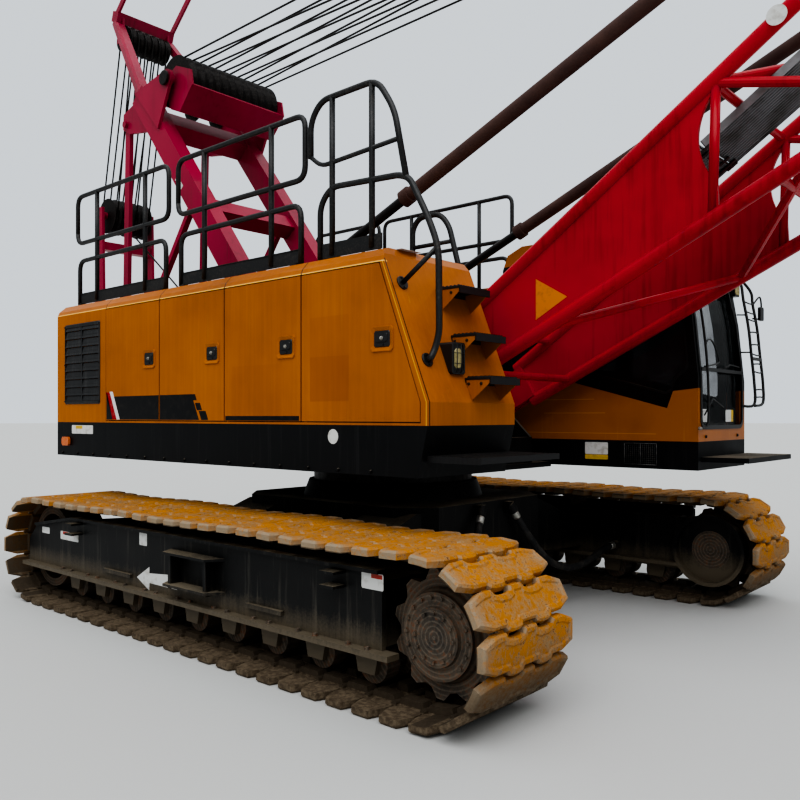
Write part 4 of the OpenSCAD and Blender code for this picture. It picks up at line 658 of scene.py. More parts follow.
painted_corner_highlight = past_front.near(-0.010, 0.0045) * (y < -1.590) * (z < 2.385)
corner_gap = y.near(-1.584, 0.0045) * (past_front.size() < 0.030) * (z < 2.400)
lit = house_yellow.mix(painted_crease_highlight * 0.7 + painted_corner_highlight * 0.35, dusted, (1.0, 0.60, 0.12))
house_yellow.surface(house_yellow.mix(seam.most(corner_gap), lit, (0.055, 0.018, 0.003)),
                     0.30 + cloud * 0.16 + up.between(0.7, 0.95) * 0.3,
                     bump=runs * 0.35 + grit * 0.15 - seam * 3 - corner_gap * 3, strength=0.16,
                     coat=0.08, specular=0.22)
dress(house_yellow, "house_right", "house_left", *(f"door_right_{i}" for i in (1, 2, 3, 4)), "door_left_1",
      "door_left_2")

# Door latches: black paddle latches in pressed yellow dishes, each with a folded pull and a key bolt.
LATCH_Z = 1.935
latch_black = Finish("latch_plastic")
latch_black.surface((0.012, 0.012, 0.013), 0.42, bump=latch_black.noise(300), strength=0.1, depth=0.0005)
latch_build = Build()
for half_x, half_z, front, back, cut, rise in (
        (0.062, 0.047, 0.0, -0.004, 0.010, 0), (0.046, 0.026, -0.004, -0.0095, 0.008, 0.006),
        (0.016, 0.007, -0.004, -0.008, 0.003, -0.034)):
    latch_build.skin(*([(u * shrink, at, v * shrink + rise) for u, v in outline(-half_x, half_x, -half_z, half_z, cut)]
                       for at, shrink in ((front, 1), (back, 0.93))))
latch = bpy.data.objects.new("latch", latch_build.mesh("latch"))
for side, name, homes in ((-1, "right", (-1.090, -0.271, 0.529, 1.370)), (1, "left", (-0.995, 0.105))):
    for i, x0 in enumerate(homes, 1):
        door = f"door_{name}_{i}"
        turn = (0, 0, math.pi) if side > 0 else (0, 0, 0)
        repeat(f"latch_{name}_{i}", latch, [((x0, side * (HOUSE_Y + 0.0003), LATCH_Z), turn)], latch_black, door)
        key = (x0 + 0.004, side * (HOUSE_Y + 0.0098), LATCH_Z + 0.003)
        bolts(f"latch_key_{name}_{i}", [(key, (0, side, 0))], collar, door, size=0.8)
        # The pressed rim stands out at its edge and slopes in to the latch.
        rings = [[(x0 - side * u, side * (HOUSE_Y + lift), LATCH_Z + v)
                  for u, v in outline(-half, half, -high, high, 0.016)]
                 for half, high, lift in ((0.090, 0.074, 0.0002), (0.088, 0.072, 0.008),
                                          (0.083, 0.067, 0.008), (0.066, 0.050, 0.0006))]
        Build().skin(*rings, caps=False).piece(f"latch_dish_{name}_{i}", house_yellow, door)

# Louvre: a black pressed panel screwed over the air inlet at the rear of the right-hand house, with two
# columns of nine slanted blades and a plain post between them.
louvre_black = Finish("louvre_paint")
runs, grit = louvre_black.noise(1.0, 4, 0.6, (40, 40, 3)), louvre_black.noise(120, 2)
louvre_black.surface(louvre_black.mix(runs.between(0.5, 0.75), (0.0085, 0.0085, 0.0095), (0.045, 0.043, 0.042)), 0.42,
                     bump=grit, strength=0.1, depth=0.001)
Build().skin(*([(u, -HOUSE_Y - proud, v) for u, v in outline(x0, x1, z0, z1, 0.012)] for x0, x1, z0, z1, proud in (
    (-2.455, -1.840, 1.596, 2.292, 0.0003), (-2.449, -1.846, 1.602, 2.286, 0.008),
    (-2.440, -1.855, 1.622, 2.262, 0.008), (-2.440, -1.855, 1.622, 2.262, 0.0003))),
             caps=False).piece("louvre_frame", louvre_black)
plate("louvre_post", outline(-2.157, -2.138, 1.622, 2.262), "y", -1.599, -0.007, louvre_black)
# A black sheet behind the blades, so that their gaps look dark: painted shade.
plate("louvre_back", outline(-2.470, -1.830, 1.590, 2.300), "y", -1.564, 0.003, louvre_black)
# A blade is 282 mm long; its hollow face is turned down and its lip folded back.
section = [(0.030, 0.050), (0.0, 0.040), (-0.005, 0.008), (-0.006, -0.002), (-0.002, -0.003), (0.000, 0.006),
           (0.006, 0.036), (0.032, 0.046)]
wedge = [(-0.0017, 0.044), (-0.0017, 0.0745), (-0.0032, 0.0745), (-0.0095, 0.046)]
blade_build = Build()
for half, shape in ((0.141, section), (0.1455, wedge)):
    blade_build.skin(*([(end * half, u, v) for u, v in shape] for end in (-1, 1)))
blade = bpy.data.objects.new("blade", blade_build.mesh("blade"))
repeat("louvre_blades", blade, [((-2.2975 + column * 0.300, -1.5985, 1.626 + i * 0.070), (0, 0, 0))
                                for i in range(9) for column in (0, 1)], louvre_black)
bolts("louvre_screws", [((x0, -1.608, z0), (0, -1, 0)) for x0 in (-2.446, -1.849) for z0 in (1.62, 1.94, 2.27)],
      louvre_black, size=0.45)

# Rear grilles, tail lamps and roof pads: a black louvred panel lets each house breathe at the back, a red
# lamp sits under it in the deck's end, and grip mats are glued on the roofs between the rails.
REAR_X, ROOFS = -2.600, {"right": 2.480, "left": 2.600}
for side, name in SIDES:
    plate(f"rear_grille_back_{name}", outline(*sorted((side * 0.875, side * 1.495)), 1.585, 2.262, 0.012),
          "x", REAR_X, -0.0012, louvre_black)
    repeat(f"rear_grille_blades_{name}", blade,
           [((REAR_X - 0.0012, side * (1.035 + column * 0.300), 1.610 + i * 0.070), (0, 0, -math.pi / 2))
            for i in range(9) for column in (0, 1)], louvre_black)
    grille = Build()
    for y0, y1, z0, z1 in ((0.873, 0.889, 1.590, 2.258), (1.181, 1.189, 1.604, 2.244), (1.481, 1.497, 1.590, 2.258),
                           (0.889, 1.481, 1.590, 1.604), (0.889, 1.481, 2.244, 2.258)):
        grille.skin(*([(at, side * u, v) for u, v in outline(y0 + cut, y1 - cut, z0, z1)]
                      for at, cut in ((REAR_X - 0.0012, 0), (REAR_X - 0.014, 0.002))))
    grille.piece(f"rear_grille_frame_{name}", louvre_black)
    bolts(f"rear_grille_screws_{name}", [((REAR_X - 0.014, side * u, v), (-1, 0, 0)) for u in (0.881, 1.489)
                                         for v in (1.62, 1.92, 2.23)], louvre_black, size=0.45)
tail_lens = Finish("tail_lamp_lens")
tail_lens.surface((0.38, 0.006, 0.004), 0.16, bump=(tail_lens.axes()[1] * 800).wave(), strength=0.4, depth=0.001)
for side, name in SIDES:
    low, high = sorted((side * 1.360, side * 1.500))
    plate(f"tail_lamp_{name}", outline(low, high, 1.300, 1.370, 0.012), "x", REAR_X - 0.0003, -0.018, tail_lens)
    plate(f"tail_lamp_bezel_{name}", outline(low - 0.008, high + 0.008, 1.292, 1.378, 0.014), "x",
          REAR_X - 0.0001, -0.004, latch_black)
grip = Finish("grip_mat")
grains, worn = grip.noise(260, 2), grip.noise(3, 4)
grip.surface(grip.mix(worn.between(0.45, 0.75), (0.018, 0.018, 0.019), (0.060, 0.054, 0.045)), 0.9, bump=grains,
             strength=0.5, depth=0.001)
for side, name, spans in ((-1, "right", ((-2.38, -1.78), (-1.71, -0.98), (-0.91, -0.16), (-0.09, 0.62))),
                          (1, "left", ((-2.38, -1.60), (-1.50, -0.72), (-0.62, 0.10)))):
    for i, (x0, x1) in enumerate(spans):
        mat = outline(x0, x1, *sorted((side * 0.930, side * 1.330)), 0.030)
        plate(f"grip_mat_{name}_{i}", mat, "z", ROOFS[name] + 0.0002, 0.002, grip)


# Side stripe: vinyl film on the first two doors, parted at their joint. A red bar, a white slash, then a
# black field, left blank, that breaks up into slanted blocks at its front end.
def stripe(name, low_left, low_right, z0, z1, colour, body, upright_left=False, upright_right=False):
    """A field of the stripe; its ends slant back as they rise, unless they are upright."""
    slant = 0.110 / 0.222 * (z1 - z0)
    on_side(name, [(low_left, z0), (low_right, z0), (low_right - (0 if upright_right else slant), z1),
                   (low_left - (0 if upright_left else slant), z1)], 0.0006, vinyl[colour], body)


vinyl = {}
for name, colour, dust in (("red", (0.36, 0.006, 0.012), 0.3), ("white", (0.72, 0.70, 0.70), 0.3),
                           ("black", (0.006, 0.006, 0.007), 0.06)):
    made = vinyl[name] = Finish(f"stripe_{name}")
    made.surface(made.mix(made.noise(18, 4).between(0.5, 0.85) * dust, colour, (0.30, 0.24, 0.18)), 0.42, specular=0.2)
FOOT = 1.466
on_side("stripe_foot", [(-1.736, FOOT), (-1.640, FOOT), (-1.728, 1.688), (-1.736, 1.688)], 0.0006, vinyl["black"],
        "door_right_1")
stripe("stripe_red", -1.640, -1.575, FOOT, 1.688, "red", "door_right_1")
stripe("stripe_white", -1.573, -1.526, FOOT, 1.692, "white", "door_right_1")
stripe("stripe_field_1", -1.524, -0.9535, FOOT, 1.652, "black", "door_right_1", upright_right=True)
stripe("stripe_field_2", -0.9365, -0.428, FOOT, 1.652, "black", "door_right_2", upright_left=True)
for i, ends in enumerate(((-0.398, -0.315, FOOT, 1.530), (-0.452, -0.390, 1.536, 1.588),
                          (-0.500, -0.455, 1.608, 1.652))):
    stripe(f"stripe_block_{i}", *ends, "black", "door_right_2")
on_side("door_foot_strip", outline(-0.112, 0.655, 1.464, 1.494), 0.0006, vinyl["black"], "door_right_3")
plate("roof_sticker", outline(1.30, 1.36, -1.42, -1.24), "z", ROOFS["right"] + 0.0003, 0.0006,
      sticker_finish)

# Front steps of the right-hand house: yellow folded gussets with black serrated treads screwed on, and
# under them a grating platform in the same black steel, worn bright where boots tread.
SLOPE = 0.348 / 0.860
tread_black = Finish("tread_steel")
_, _, up = tread_black.axes(tread_black.facing)
worn = tread_black.noise(30, 4)
tread_black.surface(tread_black.mix(up.between(0.4, 0.9) * worn.between(0.4, 0.7), (0.012, 0.012, 0.013),
                                    (0.12, 0.10, 0.075)), 0.6, 0.2, bump=worn, strength=0.3)


def front_x(height):
    """Where the sloping front of the right-hand house stands at a height."""
    return 1.710 - (height - 1.570) * SLOPE


gusset, tread, step_screws = Build(), Build(), []
for height in (1.705, 1.960, 2.250):
    x0 = front_x(height)
    cut = [(x0 + 0.002, height - 0.002), (x0 + 0.004 + 0.120 * SLOPE, height - 0.120), (x0 + 0.175, height - 0.022),
           (x0 + 0.175, height - 0.002)]
    for y0 in (-1.196, -0.9165):
        gusset.skin(*([(u, at, v) for u, v in cut] for at in (y0, y0 + 0.0045)))
    step_screws += [((x0 + u, -1.196, height - 0.024), (0, -1, 0)) for u in (0.028, 0.118)]
    for u0, u1, low, high in ((0.004, 0.012, -0.030, 0), (0.181, 0.189, -0.030, 0), (0.002, 0.189, 0, 0.012)):
        tread.box(x0 + u0, x0 + u1, -1.199, -0.901, height + low, height + high)
    for row in range(6):
        u = x0 + 0.012 + row * 0.029
        for k in range(12):
            v = -1.192 + k * 0.0242
            tread.skin(level(u, u + 0.018, v, v + 0.016, height + 0.012),
                       level(u + 0.004, u + 0.014, v + 0.004, v + 0.012, height + 0.0215))
gusset.piece("step_gussets", house_yellow)
bolts("step_screws", step_screws, latch_black, size=0.6)
for k in range(9):
    tread.box(1.667, 2.036, -1.556 + k * 0.0965, -1.550 + k * 0.0965, 1.237, 1.272)
for k in range(13):
    tread.box(1.669 + k * 0.0302, 1.674 + k * 0.0302, -1.557, -0.773, 1.240, 1.2745)
treads = tread.piece("step_treads", tread_black)
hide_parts("front_steps")

# Work lamp: an upright lamp in a black box that stands out of the front slope, with a yellowed lens behind
# a guard of thin wire.
lamp_home = Vector((front_x(1.827) + 0.052, -1.268, 1.827))


def on_lamp(across, down, lift):
    """A point near the lamp's face: across along Y, down, and lift out of it."""
    return lamp_home + Vector((lift, across, -down))


lamp_rings = [[on_lamp(-a, d, lift) for a, d in outline(-half_y, half_y, -half_d, half_d, 0.012)]
              for half_y, half_d, lift in ((0.062, 0.092, -0.092), (0.062, 0.092, 0.007), (0.050, 0.080, 0.007),
                                           (0.048, 0.078, 0.001))]
lamp_box = Build().skin(*lamp_rings, caps=False)
lamp_box.faces.append(tuple(range(24, 32)))
lamp_box.piece("work_lamp_box", latch_black)
lens_clear = Finish("work_lamp_lens")
lens_clear.surface(lens_clear.mix(lens_clear.noise(40).between(0.4, 0.8), (0.48, 0.42, 0.20), (0.22, 0.18, 0.09)), 0.15,
                   bump=(lens_clear.axes()[1] * 700).wave(), strength=0.5, depth=0.001)
Build().skin(*([on_lamp(a, d, lift) for a, d in outline(-half_y, half_y, -half_d, half_d, 0.016)]
               for half_y, half_d, lift in ((0.034, 0.058, 0.0015), (0.030, 0.054, 0.0085)))
             ).piece("work_lamp_lens", lens_clear)
guard = [[on_lamp(a, d, lift) for d, lift in ((-0.082, 0.010), (0, 0.016), (0.082, 0.010))] for a in (-0.02, 0.02)]
guard += [[on_lamp(a, d, lift) for a, lift in ((-0.052, 0.010), (0, 0.016), (0.052, 0.010))] for d in (-0.03, 0.03)]
tube("work_lamp_guard", guard, 0.0022, latch_black, sides=6)


# Guard rails: 38 mm steel pipe bent cold, welded to flat feet on the roof with folded toe boards between,
# in black paint. One long pipe of the right-hand set runs down the house front to a round flange.
def bent(route, bend=0.09):
    """The route with each of its corners turned into a bend."""
    spots = [Vector(p) for p in route]
    closed = (spots[0] - spots[-1]).length < 0.001
    made = []
    count = len(spots) - 1 if closed else len(spots)
    for i in range(count):
        if not closed and i in (0, count - 1):
            made.append(spots[i])
            continue
        before, here, after = spots[(i - 1) % count], spots[i], spots[(i + 1) % count]
        back = min(bend, (before - here).length * 0.48, (after - here).length * 0.48)
        a, b = here + (before - here).normalized() * back, here + (after - here).normalized() * back
        made += [a * (1 - t) ** 2 + 2 * here * t * (1 - t) + b * t * t for t in (0, 0.2, 0.4, 0.6, 0.8, 1.0)]
    return made + [made[0].copy()] if closed else made


def rail_set(side, roof, lengths):
    """All rails of one roof: the pipes' routes, the plates with them and their screws."""
    y, low, top = side * 1.450, roof + 0.400, roof + 0.980
    routes, boards, screws = [], Build(), []
    for x0, x1 in lengths:
        routes.append([(x0, y, roof + 0.012), (x0, y, low), (x1, y, low), (x1, y, roof + 0.012)])
        loop = outline(x0 - 0.04, x1 + 0.04, low + 0.16, top)
        routes.append([(u, y, v) for u, v in loop + loop[:1]])
        for share in (0.22, 0.78):
            x = x0 + share * (x1 - x0)
            routes.append([(x, y, roof + 0.03), (x, y, roof + 0.5), (x, y, top)])
        boards.box(x0 + 0.022, x1 - 0.022, y - 0.003, y + 0.003, roof + 0.014, roof + 0.108)
        boards.box(x0 + 0.022, x1 - 0.022, y - 0.008, y + 0.008, roof + 0.104, roof + 0.109)
        for x in (x0 + 0.02, x1 - 0.08):
            boards.box(x, x + 0.06, y - 0.03, y + 0.03, roof + 0.0005, roof + 0.0135)
            screws += [((x + 0.03, y + dy, roof + 0.0135), (0, 0, 1)) for dy in (-0.02, 0.02)]
        for k in range(1, int((x1 - x0) / 0.35)):
            x = x0 + k * 0.35
            boards.box(x, x + 0.03, y - 0.006, y + 0.006, roof + 0.0005, roof + 0.016)
    return y, routes, boards, screws


rail_black = Finish("rail_paint")
cloud, grit = rail_black.noise(5, 4), rail_black.noise(70, 3, 0.7)
_, _, up = rail_black.axes(rail_black.facing)
worn = rail_black.mix((grit + cloud * 0.4).between(0.70, 0.90) * 0.6, (0.0075, 0.0078, 0.0085), (0.060, 0.050, 0.042))
rail_black.surface(rail_black.mix(up.between(0.6, 1.0) * cloud.between(0.45, 0.7) * 0.45, worn, (0.10, 0.10, 0.10)),
                   0.34 + cloud * 0.25, bump=grit, strength=0.12, depth=0.001)
PIPE = 0.019
slope_out, slope_along = Vector((0.927, 0, 0.375)), Vector((-0.375, 0, 0.927))
y, routes, boards, screws = rail_set(-1, ROOFS["right"], [(-2.480, -1.090), (-0.880, 0.505)])
foot, stay_foot = Vector((front_x(1.808), y - 0.042, 1.808)), Vector((front_x(2.259), y - 0.047, 2.259))
loop_y = -0.720
long_pipe = [(u, y, v) for u, v in ((0.690, 2.492), (0.690, 2.840), (0.790, 2.940), (1.370, 2.905), (1.450, 2.870),
                                    (1.590, 2.620), (1.665, 2.440), (1.669, 1.960))]
long_pipe += [(1.650, y - 0.015, 1.870), foot + slope_out * 0.032, foot + slope_out * 0.009]
high_pipe = [(u, y, v) for u, v in ((0.600, 3.160), (0.600, 3.400), (0.700, 3.510), (1.190, 3.510), (1.330, 3.300),
                                    (1.423, 2.880))]
routes += [long_pipe, high_pipe, *([(u, y, v) for v in (2.51, 3.0, 3.51)] for u in (0.800, 1.147))]
roof_loop = [(u, loop_y, v) for u, v in ((0.840, 2.420), (0.840, 2.790), (0.900, 2.860), (1.080, 2.860),
                                         (1.160, 2.770), (1.260, 2.420), (1.190, 2.320))]
routes.append([(0.840, -0.7597, 2.420), *roof_loop, (1.190, -0.7597, 2.320)])
thin = [[(0.598, y, 3.170), (0.700, y, 3.090), (1.362, y, 3.120)], [(1.662, y, 2.450), stay_foot + slope_out * 0.009],
        [(0.840, loop_y, 2.660), (1.190, loop_y, 2.660)]]
boards.box(0.712, 1.230, y - 0.004, y + 0.004, 2.494, 2.588)
for spot in (foot, stay_foot):
    flange = []
    for lift, grow in ((0.0, 1.0), (0.0095 * 0.7, 1.0), (0.0095, 0.93)):
        at = spot + slope_out * (0.0003 + lift)
        flange.append(tube_rings([at, at + slope_out * 0.01], 0.042 * grow, 24)[0])
    boards.skin(*flange)
    screws += [(spot + slope_out * 0.0095 + slope_along * a, slope_out) for a in (0.030, -0.030)]
left = rail_set(1, ROOFS["left"], [(-2.480, -1.560), (-1.400, 0.160)])[1:]
for name, stays, (routes, boards, screws) in (("right", thin, (routes, boards, screws)), ("left", [], left)):
    pipes = tube(f"rail_pipes_{name}", [bent(r) for r in routes], PIPE, rail_black, sides=16)
    if stays:
        tube(f"rail_stays_{name}", [bent(r) for r in stays], 0.0145, rail_black, sides=12)
    boards.piece(f"rail_boards_{name}", rail_black)
    bolts(f"rail_screws_{name}", screws, rail_black, size=0.6)
    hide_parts(f"rails_{name}")

# Cab: pressed and welded steel, yellow below its windows and on its roof, black between, with a grey
# lining. Fine grooves are pressed in its side, each with a painted highlight along it, and the bonded glass sits in
# black rubber.
cab_paint = Finish("cab_paint")
x, y, z = cab_paint.axes()
_, _, up = cab_paint.axes(cab_paint.facing)
runs, cloud, grit = cab_paint.weather(32, 1.2, 2.0, 90)
sill = (1.652 - (x - 1.67) * 0.27).least(1.80)
nose = (1.552 + (x - 2.04) * 2.70).least(1.675 + (x - 2.0855) * 0.10)
painted = (z < sill.most(nose)).most(z > 2.745)
yellow = cab_paint.mix(cloud.between(0.42, 0.72), (0.42, 0.122, 0.003), (0.32, 0.086, 0.003))
chalk = cab_paint.mix(runs.between(0.58, 0.76) * 0.3, yellow, (0.54, 0.25, 0.04))
gloss_black = cab_paint.mix(runs.between(0.55, 0.75) * 0.5, (0.0042, 0.0045, 0.0052), (0.020, 0.021, 0.022))
upper_grooves = (z.near(1.625, 0.003) * x.near(1.198, 0.254)).most(z.near(1.518, 0.003) * x.near(1.275, 0.272))
groove = upper_grooves.most(z.near(1.362, 0.003) * x.near(1.389, 0.568)) * (y < 0.73)
inside = x.near(1.43, 0.785) * y.near(1.185, 0.4205) * (z < 2.86) * (z > 1.354)
coat = cab_paint.mix(painted, gloss_black, chalk)
# The grooves are painted lighter along their length: a painted highlight.
groove_highlighted = cab_paint.mix(groove * 0.35, coat, (0.80, 0.38, 0.05))
settled = up.between(0.85, 0.98) * (cloud + grit * 0.4).between(0.45, 0.85) * 0.4
dusted = cab_paint.mix(settled, groove_highlighted, (0.42, 0.30, 0.15))
lining = cab_paint.mix(grit.between(0.4, 0.6), (0.028, 0.029, 0.031), (0.040, 0.041, 0.043))
cab_paint.surface(cab_paint.mix(inside, dusted, lining), 0.26 + inside * 0.5 + cloud * 0.14,
                  bump=runs * 0.3 + grit * 0.15 - groove * 3, strength=0.16, coat=0.08, specular=0.25)
dress(cab_paint, "cab_shell", "cab_door")
cab_glass = Finish("cab_glass")
film, clear = cab_glass.noise(5, 4), cab_glass.axes()[1] > 0.80
cab_glass.surface((0.010, 0.014, 0.015), 0.03 + film * 0.05, specular=0.35,
                  alpha=0.88 - clear * 0.60 + film.between(0.4, 0.7) * 0.08)
dress(cab_glass, "cab_glass", "door_glass")
rubber = Finish("window_rubber")
rubber.surface((0.0060, 0.0062, 0.0068), 0.38, bump=rubber.noise(60), strength=0.15, depth=0.001)
CAB_INNER, CAB_OUTER, CAB_REAR = 0.720, 1.650, 0.600


def seal(name, corners, width, axis, face, way, body="upper"):
    """A flat rubber seal round a window: its corners in the two axes that axis leaves, on a face."""
    middle = Vector((sum(a for a, _ in corners) / len(corners), sum(b for _, b in corners) / len(corners)))
    rounded = []
    for i, corner in enumerate(corners):
        here = Vector(corner)
        for other in (Vector(corners[i - 1]), Vector(corners[(i + 1) % len(corners)])):
            rounded.append(here + (other - here).normalized() * min(0.035, (other - here).length * 0.4))
    rings = []
    for grow, lift in ((0.0, 0.0005), (0.0, 0.004), (width, 0.004), (width, 0.0005)):
        spots = [spot + (spot - middle).normalized() * grow for spot in rounded]
        rings.append([(face + way * lift, *s) if axis == "x" else (s[0], face + way * lift, s[1]) for s in spots])
    made = Build().skin(*rings, caps=False).piece(name, rubber, body)
    shape = bmesh.new()
    shape.from_mesh(made.data)
    bmesh.ops.recalc_face_normals(shape, faces=shape.faces)
    shape.to_mesh(made.data)
    shape.free()


inner_light = [(1.330, 1.860), (2.060, 1.660), (2.105, 1.800), (2.190, 1.830), (2.120, 2.560), (2.060, 2.640),
               (1.330, 2.640)]
quarter_light = [(0.690, 1.920), (1.190, 1.885), (1.190, 2.640), (0.750, 2.640)]
door_light = [(1.320, 1.840), (2.075, 1.640), (2.075, 1.800), (2.035, 2.200), (1.970, 2.570), (1.935, 2.660),
              (1.320, 2.660)]
seal("seal_inner", inner_light, 0.020, "y", CAB_INNER, -1)
seal("seal_quarter_inner", quarter_light, 0.020, "y", CAB_INNER, -1)
seal("seal_quarter_outer", quarter_light, 0.020, "y", CAB_OUTER, 1)
seal("seal_door", door_light, 0.016, "y", CAB_OUTER, 1, "cab_door")
seal("seal_rear", outline(0.850, 1.520, 1.920, 2.620), 0.026, "x", CAB_REAR, -1)


def on_screen(lift, *spots):
    """Points in front of the cab's bent front face, from pairs in Y and Z."""
    stops, made = [(1.310, 2.270), (1.760, 2.270), (2.200, 2.225), (2.680, 2.140)], []
    for y, height in spots:
        for (z0, x0), (z1, x1) in zip(stops, stops[1:]):
            if height <= z1:
                break
        made.append((x0 + (x1 - x0) * (height - z0) / (z1 - z0) + lift, y, height))
    return made


screen_seal = Build()


def screen_strip(line, half, tall):
    """A rubber strip along points of the cab's front, kept on its bent face."""
    for (a0, b0), (a1, b1) in zip(line, line[1:]):
        steps = max(1, int(abs(b1 - b0) / 0.1))
        marks = [Vector((a0 + (a1 - a0) * k / steps, b0 + (b1 - b0) * k / steps)) for k in range(steps + 1)]
        for s, e in zip(marks, marks[1:]):
            side = Vector((-(e - s).y, (e - s).x)).normalized() * half
            screen_seal.skin(*(on_screen(lift, s - side, s + side, e + side, e - side) for lift in (-0.004, tall)))


round_low = [(0.850 - 0.07 * math.cos(a), 1.490 - 0.07 * math.sin(a)) for a in (math.pi / 12 * k for k in range(7))]
screen_line = [(0.772, 2.690)] + [(p - 0.008, q - 0.008) for p, q in round_low]
screen_line += [(2.37 - p + 0.008, q - 0.008) for p, q in reversed(round_low)] + [(1.598, 2.690), (0.772, 2.690)]
screen_strip(screen_line, 0.015, 0.006)
screen_strip([(0.782, 1.833), (1.588, 1.833)], 0.013, 0.010)
screen_seal.piece("windscreen_seal", rubber)

# Cab fittings: a washer hose and wipers, blank stickers in the lower screen, a grab rail with a pale knob,
# screws along the nose, a door handle, labels on the sill and a small mesh below them.
wiper = on_screen(0.014, (0.885, 2.010), (0.950, 2.055), (1.035, 2.035), (1.110, 1.925), (1.085, 1.885), (0.830, 1.850))
tube("wiper_hose", [smooth_route(wiper, 6)], 0.006, rubber)
tube("wiper_arms", [on_screen(0.016, (1.200, 1.850), (1.330, 1.885), (1.520, 1.875)),
                    on_screen(0.016, (1.560, 1.86), (1.545, 2.20), (1.515, 2.50)),
                    on_screen(0.014, (0.80, 1.50), (0.96, 1.62), (1.16, 1.56))], 0.005, rubber)
for i, (a, b, high, finish) in enumerate(((1.292, 1.405, 1.542, sticker_finish), (1.405, 1.452, 1.542, label_yellow),
                                          (0.830, 0.958, 1.545, sticker_finish))):
    plate(f"screen_sticker_{i}", outline(a, b, 1.450, high, 0.004), "x", 2.2525, 0.0006, finish)
ivory = patchy("ivory_knob", (30,), 0.4, 0.8, (0.26, 0.24, 0.21), (0.15, 0.13, 0.11), 0.4)
(low_x, _, _), (high_x, _, _) = on_screen(0.034, (0, 2.600), (0, 1.520))
grab = on_screen(0.002, (0.806, 2.640)) + [(low_x, 0.812, 2.610)]
grab += on_screen(0.036, (0.816, 2.200), (0.818, 1.833)) + [(high_x + 0.002, 0.818, 1.500)]
grab += [(2.300, 0.796, 1.418), (2.296, 0.700, 1.406)]
tube("screen_grab_rail", [smooth_route(grab, 6)], 0.0085, rail_black, sides=12)
knob = [(2.296, 0.692 - 0.018 * math.cos(a), 1.406) for a in (0.9, 1.6, 2.3)]
tube("grab_rail_knob", [knob], 0.0125, ivory, sides=14)
bolts("nose_screws", [((2.270, a, 1.345), (1, 0, 0)) for a in (0.86, 1.49)], rubber, size=0.8)
handle = [(1.345, 1.652, 1.560), (1.345, 1.690, 1.562), (1.350, 1.694, 1.640), (1.350, 1.652, 1.645)]
tube("door_handle", [smooth_route(handle, 5)], 0.009, rubber, "cab_door", sides=10)
plate("door_lock_plate", outline(1.315, 1.380, 1.530, 1.670, 0.012), "y", CAB_OUTER, 0.003, rubber, "cab_door")
for label, low, high, finish in (("white", 1.198, 1.292, sticker_finish), ("yellow", 1.160, 1.196, label_yellow)):
    plate(f"sill_label_{label}", outline(1.375, 1.571, low, high, 0.005), "y", CAB_INNER, -0.0008, finish)
mesh_grey = patchy("mesh_wire", (40,), 0.4, 0.7, (0.05, 0.052, 0.055), (0.13, 0.125, 0.115), 0.5, 0.4)
tube("sill_mesh_frame", [[(x0, 0.712, 1.134), (x0, 0.712, 1.290)] for x0 in (1.711, 1.8375, 1.964)]
     + [[(1.711, 0.712, z0), (1.964, 0.712, z0)] for z0 in (1.134, 1.290)], 0.004, mesh_grey)
fine = [[(1.711 + 0.0158 * k, 0.715, z0) for z0 in (1.136, 1.288)] for k in range(1, 16)]
fine += [[(x0, 0.715, 1.134 + 0.0156 * k) for x0 in (1.713, 1.962)] for k in range(1, 10)]
tube("sill_mesh", fine, 0.0012, mesh_grey, sides=4)


# Grab rack: thin black pipes up the cab's front corner, with bent rungs and a grey plate rung, a small
# mirror on a looped arm, and a flat lamp on top. Its brackets are welded to the cab's corner.
def corner(y, height, ahead=0.0, up=0.0):
    """A point ahead of the cab's front face at a height, set up from there."""
    x0, _, z0 = on_screen(0.062 + ahead, (y, height))[0]
    return x0, y, z0 + up


NEAR, FAR = 1.690, 1.895
near_pipe = [corner(NEAR, h) for h in (1.585, 1.76, 1.98, 2.20, 2.42, 2.56)]
far_pipe = [corner(FAR, h) for h in (1.600, 1.76, 1.98, 2.20, 2.40, 2.52)]
tube("rack_pipes", [smooth_route([(2.262, 1.600, 1.575)] + near_pipe + [(2.150, 1.640, 2.640)], 4),
                    smooth_route([corner(1.70, 1.59, up=-0.015)] + far_pipe
                                 + [(2.150, 1.760, 2.650), (2.120, 1.640, 2.650)], 4)],
     0.011, rail_black, sides=12)
rungs = []
for h in (1.640, 1.700, 1.850, 1.905, 1.990, 2.060, 2.160, 2.270, 2.330, 2.410):
    sag = 0.012 if int(h * 100) % 2 else -0.006
    rungs.append(smooth_route([corner(NEAR, h), corner(1.790, h, 0.015, -sag), corner(FAR, h)], 4))
rungs += [[(x0, 1.640, h), corner(NEAR, h)] for x0, h in ((2.235, 2.000), (2.215, 2.300))]
tube("rack_rungs", rungs, 0.006, rail_black)
plate("rack_plate_rung", outline(1.684, 1.905, 1.936, 1.962, 0.004), "x", corner(0, 1.95, 0.004)[0], 0.006, mesh_grey)
arm = [corner(y, 2.40, ahead, up) for y, ahead, up in ((FAR, 0, 0), (1.965, 0.03, 0.070), (2.010, 0.03, 0),
                                                       (1.985, 0.03, -0.100), (FAR, 0, -0.110))]
tube("mirror_arm", [smooth_route(arm, 5)], 0.007, rail_black)
mirror_back = outline(1.925, 2.005, 2.275, 2.385, 0.010)
plate("mirror_shell", mirror_back, "x", corner(0, 2.33, 0.018)[0], 0.022, rubber)
silver = Finish("mirror_glass")
silver.surface((0.55, 0.57, 0.58), 0.05 + silver.noise(9).between(0.3, 0.7) * 0.05, 1.0)
plate("mirror_face", [(u * 0.9 + 0.1965, v * 0.9 + 0.233) for u, v in mirror_back], "x", corner(0, 2.33, 0.0165)[0],
      0.0025, silver)
lamp_shell = [(2.075, 1.690), (2.215, 1.690), (2.235, 1.720), (2.235, 1.850), (2.215, 1.880), (2.075, 1.880),
              (2.055, 1.850), (2.055, 1.720)]
